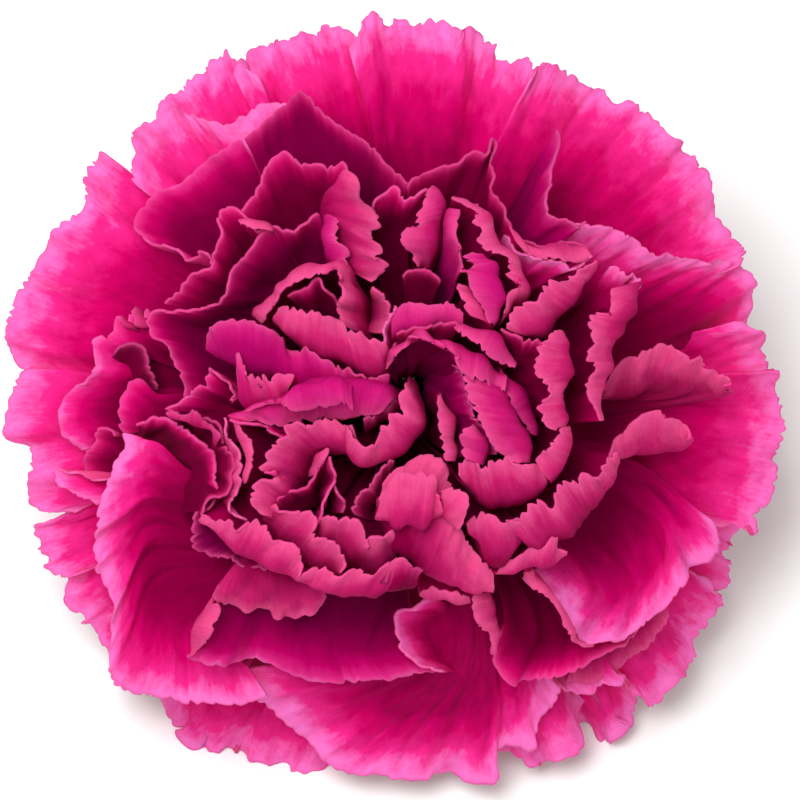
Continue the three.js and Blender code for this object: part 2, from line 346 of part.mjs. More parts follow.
// Joins and cuts
function solid(geometry) {
  const bare = geometry.clone();
  bare.deleteAttribute('normal');
  bare.deleteAttribute('uv');
  const merged = mergeVertices(bare, 1e-4);
  const triangles = Array.from(merged.index.array);
  const whole = [];
  for (let i = 0; i < triangles.length; i += 3) {
    const [a, b, c] = triangles.slice(i, i + 3);
    if (a !== b && b !== c && c !== a) whole.push(a, b, c);
  }
  return new wasm.Manifold(new wasm.Mesh({
    numProp: 3,
    vertProperties: Float32Array.from(merged.attributes.position.array),
    triVerts: Uint32Array.from(whole),
  }));
}

function geometryOf(body) {
  const mesh = body.getMesh();
  const geometry = new THREE.BufferGeometry();
  geometry.setAttribute('position', new THREE.Float32BufferAttribute(mesh.vertProperties, 3));
  geometry.setIndex(Array.from(mesh.triVerts));
  return geometry;
}

// The one outer body of a join: loose scraps and the walls of sealed hollows are dropped.
function outerBody(body) {
  const parts = body.decompose();
  return parts.reduce((most, part) => (part.volume() > most.volume() ? part : most));
}

const join = (geometries) => geometries.map(solid).reduce((whole, piece) => whole.add(piece));

// Petals
const vectors = (points) => points.map(([x, y, z]) => new THREE.Vector3(x, y, z));

// The row where a petal's claw or shoulder crosses the mouth of the calyx, facing the row it leads to.
function footRow(foot, leadsTo) {
  const middle = leadsTo.reduce((sum, point) => sum.add(point), new THREE.Vector3());
  const heading = Math.atan2(middle.y, middle.x);
  const out = new THREE.Vector3(Math.cos(heading), Math.sin(heading), 0);
  const across = new THREE.Vector3(-out.y, out.x, 0);
  const run = leadsTo[leadsTo.length - 1].clone().sub(leadsTo[0]);
  const half = (run.dot(across) < 0 ? -0.5 : 0.5) * foot.width;
  return [-half, half].map((offset) => out.clone().multiplyScalar(foot.radius)
    .addScaledVector(across, offset).setZ(foot.height));
}

// A petal's sheet: every row is a curve, and a curve through the rows gives each column.
function petal(rows) {
  const curves = rows.map((row) => new THREE.CatmullRomCurve3(row));
  const rim = curves[curves.length - 1];
  const columns = THREE.MathUtils.clamp(Math.round(rim.getLength() / TOOTH_PITCH), 3, 9);
  const steps = rows.map((row, step) => step);
  const grid = steps.map(() => []);
  for (let column = 0; column <= columns; column++) {
    const line = new THREE.CatmullRomCurve3(curves.map((curve) => curve.getPointAt(column / columns)));
    const notch = column % 2 ? TOOTH / line.getLength() : 0;
    steps.forEach((step, row) => {
      const t = step / (rows.length - 1);
      grid[row].push(line.getPoint(Math.min(t, 1 - notch)));
    });
  }
  return sheet(grid, PETAL_THICK);
}

function guard([bendHeight, rimPoints]) {
  const rim = vectors(rimPoints);
  const bend = rim.map((point) => point.clone().multiplyScalar(GUARD_BEND).setZ(bendHeight));
  return petal([footRow(GUARD_CLAW, bend), footRow(GUARD_SHOULDER, bend), bend, rim]);
}

function middlePetal(rowPoints) {
  const rows = rowPoints.map(vectors);
  return petal([footRow(MIDDLE_CLAW, rows[0]), footRow(MIDDLE_SHOULDER, rows[0]), ...rows]);
}

function heartPetal(rowPoints) {
  const [brow, rim] = rowPoints.map(vectors);
  const middle = brow.reduce((sum, point) => sum.add(point), new THREE.Vector3())
    .divideScalar(brow.length);
  const foot = brow.map((point) => point.clone().sub(middle).multiplyScalar(HEART_FOOT.narrowing)
    .addScaledVector(middle, HEART_FOOT.outward).setZ(HEART_FOOT.height));
  return petal([foot, brow, rim]);
}

function makePetals() {
  const blades = [
    ...Object.values(GUARDS).map(guard),
    ...Object.values(MIDDLE).map(middlePetal),
    ...Object.values(HEART).map(heartPetal),
  ];
  const head = join([turned(CORE_OUTLINE, SIDES), ...blades]);
  return geometryOf(outerBody(head.subtract(solid(turned(WELL, SIDES)))));
}

// Calyx: a cup whose rim rises to a point over each of its teeth.
function makeCalyx() {
  const [under, floor] = CALYX_FLOOR;
  const cup = turned([[0, under], ...CALYX_OUTSIDE, ...CALYX_INSIDE, [0, floor]], CALYX_SIDES);
  const place = cup.attributes.position;
  for (let i = 0; i < place.count; i++) {
    if (place.getZ(i) < CALYX_TOOTH_FOOT) continue;
    const turn = (Math.atan2(place.getY(i), place.getX(i)) / (2 * Math.PI) + 1) * CALYX_TEETH;
    const rise = 1 - Math.abs(2 * (turn % 1) - 1);
    place.setZ(i, THREE.MathUtils.lerp(CALYX_TOOTH_FOOT, place.getZ(i), rise));
  }
  return cup;
}

function makeBracts() {
  const scales = [];
  for (let scale = 0; scale < BRACTS; scale++) {
    const facing = (scale + 0.5) * 360 / BRACTS;
    const grid = BRACT_OUTLINE.map(([radius, height, share]) => [1, 0.5, 0, -0.5, -1].map((side) => {
      const angle = THREE.MathUtils.degToRad(facing - side * share * BRACT_HALF_WIDTH);
      return new THREE.Vector3(radius * Math.cos(angle), radius * Math.sin(angle), height);
    }));
    scales.push(sheet(grid, BRACT_THICK));
  }
  return geometryOf(outerBody(join([turned(COLLAR, SIDES), ...scales])));
}

function makePistil() {
  const ring = new THREE.Shape().absarc(0, 0, STYLE_RADIUS, 0, 2 * Math.PI);
  const styles = STYLES.map((points) => {
    const path = new THREE.CatmullRomCurve3(vectors(points));
    return new THREE.ExtrudeGeometry(ring, { extrudePath: path, steps: 8, curveSegments: 3 });
  });
  return geometryOf(outerBody(join([turned(OVARY_OUTLINE, SIDES), ...styles])));
}

// The bloom, laid down: leant forward, then stood on the surface with its middle over the origin.
const pieces = {
  stem: [turned(STEM_OUTLINE, SIDES), STEM_GREEN],
  bracts: [makeBracts(), CALYX_GREEN],
  calyx: [makeCalyx(), CALYX_GREEN],
  pistil: [makePistil(), OVARY_GREEN],
  petals: [makePetals(), PETAL_PINK],
};

const flower = new THREE.Group();
const lay = new THREE.Matrix4().makeRotationY(THREE.MathUtils.degToRad(SWAY)).multiply(
  new THREE.Matrix4().makeRotationX(THREE.MathUtils.degToRad(LEAN)));
for (const [name, [geometry, look]] of Object.entries(pieces)) {
  const mesh = new THREE.Mesh(geometry.applyMatrix4(lay), look);
  mesh.name = name;
  flower.add(mesh);
}
const box = new THREE.Box3().setFromObject(flower, true);
const middle = box.getCenter(new THREE.Vector3());
flower.position.set(-middle.x, -middle.y, -box.min.z);
flower.updateMatrixWorld(true);

export default flower;
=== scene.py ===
"""A cut carnation bloom, lying face up on a pale table.

The bloom is described in millimetres in its own frame: +Z is its axis, from the stem up to the open
face, +Y is the top of the face as it is looked at, and the origin is the foot of the calyx. laid()
brings points of that frame to the place where the bloom rests, in metres.
"""
import math
from types import SimpleNamespace

import bpy
import numpy as np
from mathutils import Matrix, Vector


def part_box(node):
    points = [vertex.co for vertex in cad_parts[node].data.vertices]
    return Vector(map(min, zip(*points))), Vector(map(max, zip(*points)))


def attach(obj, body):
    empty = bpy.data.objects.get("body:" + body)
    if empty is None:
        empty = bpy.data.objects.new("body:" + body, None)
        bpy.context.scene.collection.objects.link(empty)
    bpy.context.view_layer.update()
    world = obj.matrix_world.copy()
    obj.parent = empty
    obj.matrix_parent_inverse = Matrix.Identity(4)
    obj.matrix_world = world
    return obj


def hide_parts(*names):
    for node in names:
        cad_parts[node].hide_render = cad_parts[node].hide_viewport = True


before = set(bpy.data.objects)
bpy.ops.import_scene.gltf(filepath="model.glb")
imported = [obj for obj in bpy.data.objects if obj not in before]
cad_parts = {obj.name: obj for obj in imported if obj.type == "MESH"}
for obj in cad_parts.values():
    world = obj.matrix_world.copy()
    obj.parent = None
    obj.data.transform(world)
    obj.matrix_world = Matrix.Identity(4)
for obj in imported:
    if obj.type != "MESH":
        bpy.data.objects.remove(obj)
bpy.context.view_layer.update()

# ---------------------------------------------------------------------------------------- dimensions
MM = 0.001
LEAN = math.radians(21.06)       # the bloom's axis leans forward as it rests
SWAY = math.radians(0.14)        # and to its right
STUB_RADIUS = 2.3
STUB_FOOT = -4
TABLE_GAP = 0.3                  # a petal's least height over the table
CREASE_ANGLE = math.radians(50)  # edges of the green pieces that are sharper than this stay sharp

# Round pieces, as radius and height. The stem's outline runs from its cut end up to its flare.
STEM_OUTLINE = [(0.4, -4), (1, -4), (1.6, -4), (2.1, -4), (2.26, -3.95), (2.3, -3.8), (2.25, -3),
                (2.3, -1.8), (2.7, -0.9), (3.15, -0.3), (3.3, 0)]
STEM_RINGS = 40
STEM_SIDES = 96
COLLAR_OUTLINE = [(2.6, -1.3), (3.6, -1.35), (4.2, -1.1), (4.45, -0.6), (4.3, -0.15), (3.6, 0.1),
                  (2.8, 0.1)]
COLLAR_RINGS = 24

TOOTH_FOOT = 21.8
TOOTH_TIP = 26.2
TOOTH_NOTCH = 0.04               # how high the rim of the calyx is in its notches, as a share of a tooth
CALYX_OUTSIDE = [(3.2, 0.3), (4.6, 1.2), (5.9, 4), (6.2, 9), (6.6, 16), (7.1, 21), (7.45, TOOTH_TIP)]
CALYX_THICK = 0.45
CALYX_RINGS = 70
CALYX_SIDES = 240
CALYX_TEETH = 5
CALYX_VEINS = 35
TOOTH_POINT = 0.85               # below 1, the sides of a tooth are rounded
TOOTH_MARGIN = 0.5               # the papery margin fades out this far down a notch, and 1 more at a tip
# how much the calyx swells, as shares of its radius
VEIN_SWELL = 0.011
RIB_SWELL = 0.012
DENT_SWELL = 0.006
TIP_FLARE = 0.01

BRACTS = 4                       # in two pairs, the second inside and a little higher
BRACT_THICK = 0.35
BRACT_HALF_WIDTH = math.radians(39)
BRACT_ROWS = 40
BRACT_COLUMNS = 33
BRACT_KEEL = 0.22
BRACT_RIB = 0.05
INNER_PAIR_SINK = 0.25
INNER_PAIR_RISE = 0.5
BRACT_MARGIN = 0.88              # the papery margin starts at this share of the way out
BRACT_MARGIN_STEEP = 8
# radius, height and share of the full width, from the collar up to the tip
BRACT_OUTLINE = [(4.1, -0.7, 0.8), (5.5, 0.3, 0.95), (6.5, 3, 1), (6.85, 6, 0.7), (7.05, 8.4, 0.2),
                 (7.3, 9.5, 0.02)]

OVARY_OUTLINE = [(0.4, 4.6), (1, 4.6), (1.7, 6), (1.9, 8), (1.9, 11), (1.5, 13.2), (1, 14.8),
                 (0.7, 16), (0.3, 16.2)]
PISTIL_RINGS = 40
OVARY_SIDES = 48
STYLE_SIDES = 24
STYLE_RADIUS = 0.42
STYLE_TAPER = ([0, 0.5, 0.95, 1], [1, 0.9, 0.7, 0.3])    # shares of the way up and of the radius
STYLES = [
    [(0.3, 0.24, 14), (0.45, 0.36, 24), (1, 1.1, 32), (1.3, 2.1, 36.6)],
    [(0.08, 0.4, 14), (0.12, 0.6, 24), (0.2, 1.4, 32), (0.3, 2.2, 36.8)],
]

# A petal is a sheet through rows of points, from its claw to its rim. The rows of a claw are given by
# radius, height and width.
PETAL_THICK = 0.26
GUARD_BEND = 0.6                 # a guard bends at this share of the way out to its rim
GUARD_CLAW = [(3.4, 6, 1.6), (4.3, 22, 2.2), (4.9, 26.5, 3.2), (9, 30, 7)]
MIDDLE_CLAW = [(3.2, 6, 1.4), (4, 22, 2), (4.5, 27.5, 3), (8.6, 32, 6)]
HEART_CLAW = [(2.9, 6, 1.2), (3.3, 20, 1.4), (4, 27, 4)]
# the waist of a heart petal: its brow, set further in, made narrower, and at one height
WAIST_OUTWARD = 0.62
WAIST_WIDTH = 0.8
WAIST_HEIGHT = 34
RIM_BELT = 3.4                   # the bends of a rim's outline fade out this far down the petal
BELT_SHARE = 0.5                 # and no further than this share of the way to the row below
RIM_CALM = 2.2                   # how far along the rim they are evened out there
FOLD_CROWN = 0.17                # how far a curled petal bulges over its brow, as a share of its reach
TEETH_COLUMNS = 6                # columns of cells in a tooth
TEETH_BIAS = 2.2                 # most teeth are shallow
CUT_MOST = 0.5                   # a rim is cut no deeper than this share of the way to the row below
INWARD = 0.4                     # a petal faces up, and inward by this much
CURVE_STEPS = 60                 # steps to a point, where the length of a curve is measured
CURVE_STEPS_UP = 40              # and to a row, where the length of a petal is
CELL_TAPER = 1.35                # cells get shorter towards the rim
RUFFLE_PACES = (0.5, 1, 1.7)     # a rim's ruffle has a slow wave, a middle one and a quick one
RUFFLE_RISE = 2.2                # the ruffle is strong only close to the rim
# waves that run over a petal: their pitch and their slant, in radians to the millimetre, and what
# each is divided by
GRAIN_WAVES = ((1, 4), 1.4, (1, 1.5, 2, 2.5, 3))
GRAIN_HEIGHT = 0.06
CRUMPLE_WAVES = ((0.8, 2), 0.9, (1, 1, 1))
FULL_TURN = 6.3                  # radians, a little more than a full turn: where a wave may start

# The sheets of each whorl: rows of cells, the pitch and the depth of the teeth, the height and the
# length of the ruffle, and the height of the crumpling. The colour is at its deepest at inside and at
# outside from the rim, on the two faces: partly the petal's own colour, partly painted shade of the
# hollows between the petals.
GUARD_SHEET = SimpleNamespace(cells=44, pitch=(0.7, 1.8), depth=(0.1, 0.7), ruffle=0.65,
                              ruffle_length=12, crumple=0.1, inside=22, outside=60)
MIDDLE_SHEET = SimpleNamespace(cells=46, pitch=(0.8, 2), depth=(0.08, 0.5), ruffle=0.3,
                               ruffle_length=9, crumple=0.1, inside=10.5, outside=14)
HEART_SHEET = SimpleNamespace(cells=44, pitch=(0.7, 1.6), depth=(0.08, 0.75), ruffle=0.16,
                              ruffle_length=6, crumple=0.12, inside=7, outside=9)

# ---------------------------------------------------------------------------------------- the petals
# A row starts with its heights, spread evenly along it, and goes on with its points in plan. Guards go
# round anticlockwise from the top of the face, and have the height of their bend and their rim.
GUARDS = {
    "north": (30, [(25, 22, 21, 23, 21, 22, 24), (-4.6, 35.8), (-4.2, 36.5), (-3.8, 37.8), (-3, 38.8),
        (-2, 38.5), (-1.3, 37.8), (-0.6, 38.5), (0.3, 38.2), (1.4, 37.4), (2.5, 38), (3.8, 38),
        (4.8, 37.6), (5.8, 36.5), (7, 37), (7.8, 36.8), (9, 36.2), (9.8, 36.2), (10.3, 35), (11.5, 34.4),
        (12.8, 34.4), (13.6, 33)]),
    "northLeft": (28.5, [(23, 20, 22, 19, 21, 22), (-16.8, 32.5), (-16.2, 34), (-15.6, 33.6),
        (-15.3, 35.5), (-14.8, 35.8), (-12.5, 36.3), (-11, 36.6), (-9.6, 37.2), (-8.5, 36.6), (-7, 37.2),
        (-5.5, 37), (-4.5, 36.5), (-3, 36), (-1.5, 35.5)]),
    "northWestBack": (28.5, [(24, 21, 22, 20, 20, 23), (-25.5, 26), (-24.1, 29.5), (-23.7, 30.5),
        (-22.5, 31), (-21.5, 32.2), (-20.4, 32.8), (-19.4, 32.6), (-18.7, 33.8), (-17.5, 34), (-17, 35),
        (-16.2, 34), (-14.2, 32.8)]),
    "northWestFront": (30.5, [(27, 26, 28, 26, 29, 29, 30), (-26.9, 22), (-27.2, 24.4), (-27.5, 26.3),
        (-26, 27.3), (-25.3, 27.8), (-24.5, 27.8), (-24, 28), (-23, 29), (-22, 28.7), (-20.7, 28.6),
        (-20, 28.4), (-18, 28), (-17.2, 27.5), (-16.5, 28.2), (-15, 28.8), (-14, 29.5), (-11.5, 29.6)]),
    "westTop": (27, [(19, 18, 19, 20), (-33, 15), (-31.4, 18), (-28.8, 19.6), (-27, 20.6), (-25.4, 22),
        (-23.5, 23.6)]),
    "westUpper": (28.5, [(21, 19, 21, 18, 20, 22, 24), (-36.5, 1.5), (-38.3, 3), (-39, 5.1), (-38.9, 8.9),
        (-37.8, 10.7), (-36.9, 13), (-36, 15.4), (-35.2, 16.5), (-33.4, 18.6), (-32.3, 19.2),
        (-32.2, 20.5), (-32, 22), (-31.2, 23.7), (-30.3, 24.1), (-29.9, 25)]),
    "westLower": (29.5, [(20.5, 18, 21, 18.5, 21, 21), (-33, -11.4), (-37.2, -11), (-37.4, -8.9),
        (-37.2, -7.4), (-37.4, -5.1), (-38.9, -3.8), (-39, 0.7), (-38.3, 2.2), (-37.2, 3.4)]),
    "westSpur": (27, [(18.5, 14.5, 16, 13.5, 16.5), (-32.9, -11.8), (-37.4, -13.3), (-36.7, -14.5),
        (-36.6, -15.5), (-35.4, -16.3), (-35.9, -16.8), (-35, -17.6), (-32.4, -17.8)]),
    "southWest": (27, [(17.5, 13, 13.5, 11, 12.5, 14.5), (-32, -17.2), (-33.9, -19.1), (-33.9, -20.2),
        (-32.8, -21.7), (-32.1, -21.9), (-32.1, -23), (-31, -23.4), (-30.4, -24.8), (-29.2, -25),
        (-29.1, -27), (-28, -28.5), (-26.5, -28.8)]),
    "southSouthWest": (25, [(11, 7, 7, 9, 9.5, 9, 9), (-25.8, -29.2), (-25, -29.9), (-24, -30.8),
        (-23.5, -31.7), (-22.6, -33), (-21.7, -32.7), (-21.2, -34), (-20.2, -34.4), (-19.4, -34.3),
        (-19.2, -35.4), (-18.3, -35.7), (-17.5, -35.5), (-17, -36.2), (-16, -36), (-15.5, -36.7),
        (-14, -36.9), (-13.2, -37.4), (-11.7, -37.1), (-11, -38), (-8.3, -38.1), (-5.6, -37.5)]),
    "southSouthEast": (26, [(15, 13, 12, 14, 12, 15), (8.6, -34.6), (9.3, -34.9), (11.2, -35.4),
        (11.5, -36), (12.2, -35.9), (13.2, -36.6), (14, -36), (16, -36), (17.5, -35.5), (18, -35),
        (18.1, -33), (18.2, -30.9)]),
    "southEastTip": (25.5, [(13, 7, 7, 10, 10, 13, 15.5), (18.2, -30.9), (19.4, -33), (20.4, -34.8),
        (20.6, -34), (21.5, -33.9), (22.2, -33.2), (22.4, -32.2), (23.2, -32.6), (23.7, -31.5),
        (23.8, -30.8), (23.6, -29.3), (22.2, -28.2)]),
    "southEast": (27.5, [(16.5, 12, 14.5, 12, 14.5, 13, 17.5), (22.6, -28.4), (23.6, -29.5),
        (24.7, -30.3), (25.8, -30), (26.8, -29.1), (27.5, -28.5), (27.7, -28), (28.6, -27.8), (29, -26.5),
        (30, -25.9), (30, -25), (31.4, -23.2), (32.1, -21.4), (32.6, -20.7), (32.4, -20.1),
        (31.2, -18.6)]),
    "eastLow": (27, [(15, 13, 16, 15, 17.5), (31, -19.2), (33.4, -18.7), (33.2, -17.8), (33.5, -16.8),
        (33.2, -15.6), (34.2, -14.8), (34, -14), (34.5, -13.2), (33.6, -12.6)]),
    "east": (29, [(22.5, 18.5, 21, 18.5, 21.5, 20, 22), (31.8, -12.3), (34.5, -13.2), (35.5, -12.5),
        (35.6, -11.5), (36.8, -10.5), (37.3, -9.5), (37.8, -8), (38, -6.5), (37.8, -6), (38.4, -4),
        (39, -2), (38.7, -1), (39, -0.5), (38.8, 0.2), (37.9, 0.9), (38, 2), (37.8, 3)]),
    "eastUpper": (28.5, [(18.5, 20, 20, 23), (38, -1.5), (37.9, 1), (37.9, 3), (37.2, 3.1), (37, 4.2),
        (36.7, 5), (36.6, 6.5), (34.7, 7.6), (34, 8)]),
    "northEast": (29.5, [(23, 21, 22, 19, 21, 18, 20, 21, 24), (34.2, 13.5), (34.8, 15.7), (33.8, 16.8),
        (33.5, 17.5), (32.8, 18.5), (32.2, 20), (31.6, 20.5), (30.7, 22.6), (29.8, 22.7), (29.7, 24),
        (28.2, 24.9), (28.1, 25.9), (26.6, 26.4), (26.3, 27.3), (25.1, 28.3), (24, 28.8), (23.3, 29.9),
        (21.8, 30), (21.5, 31.2), (20.5, 31.8), (18.3, 32.4), (16, 33.4), (14.8, 33.8), (13.5, 33.2),
        (12.5, 32.4)]),
}

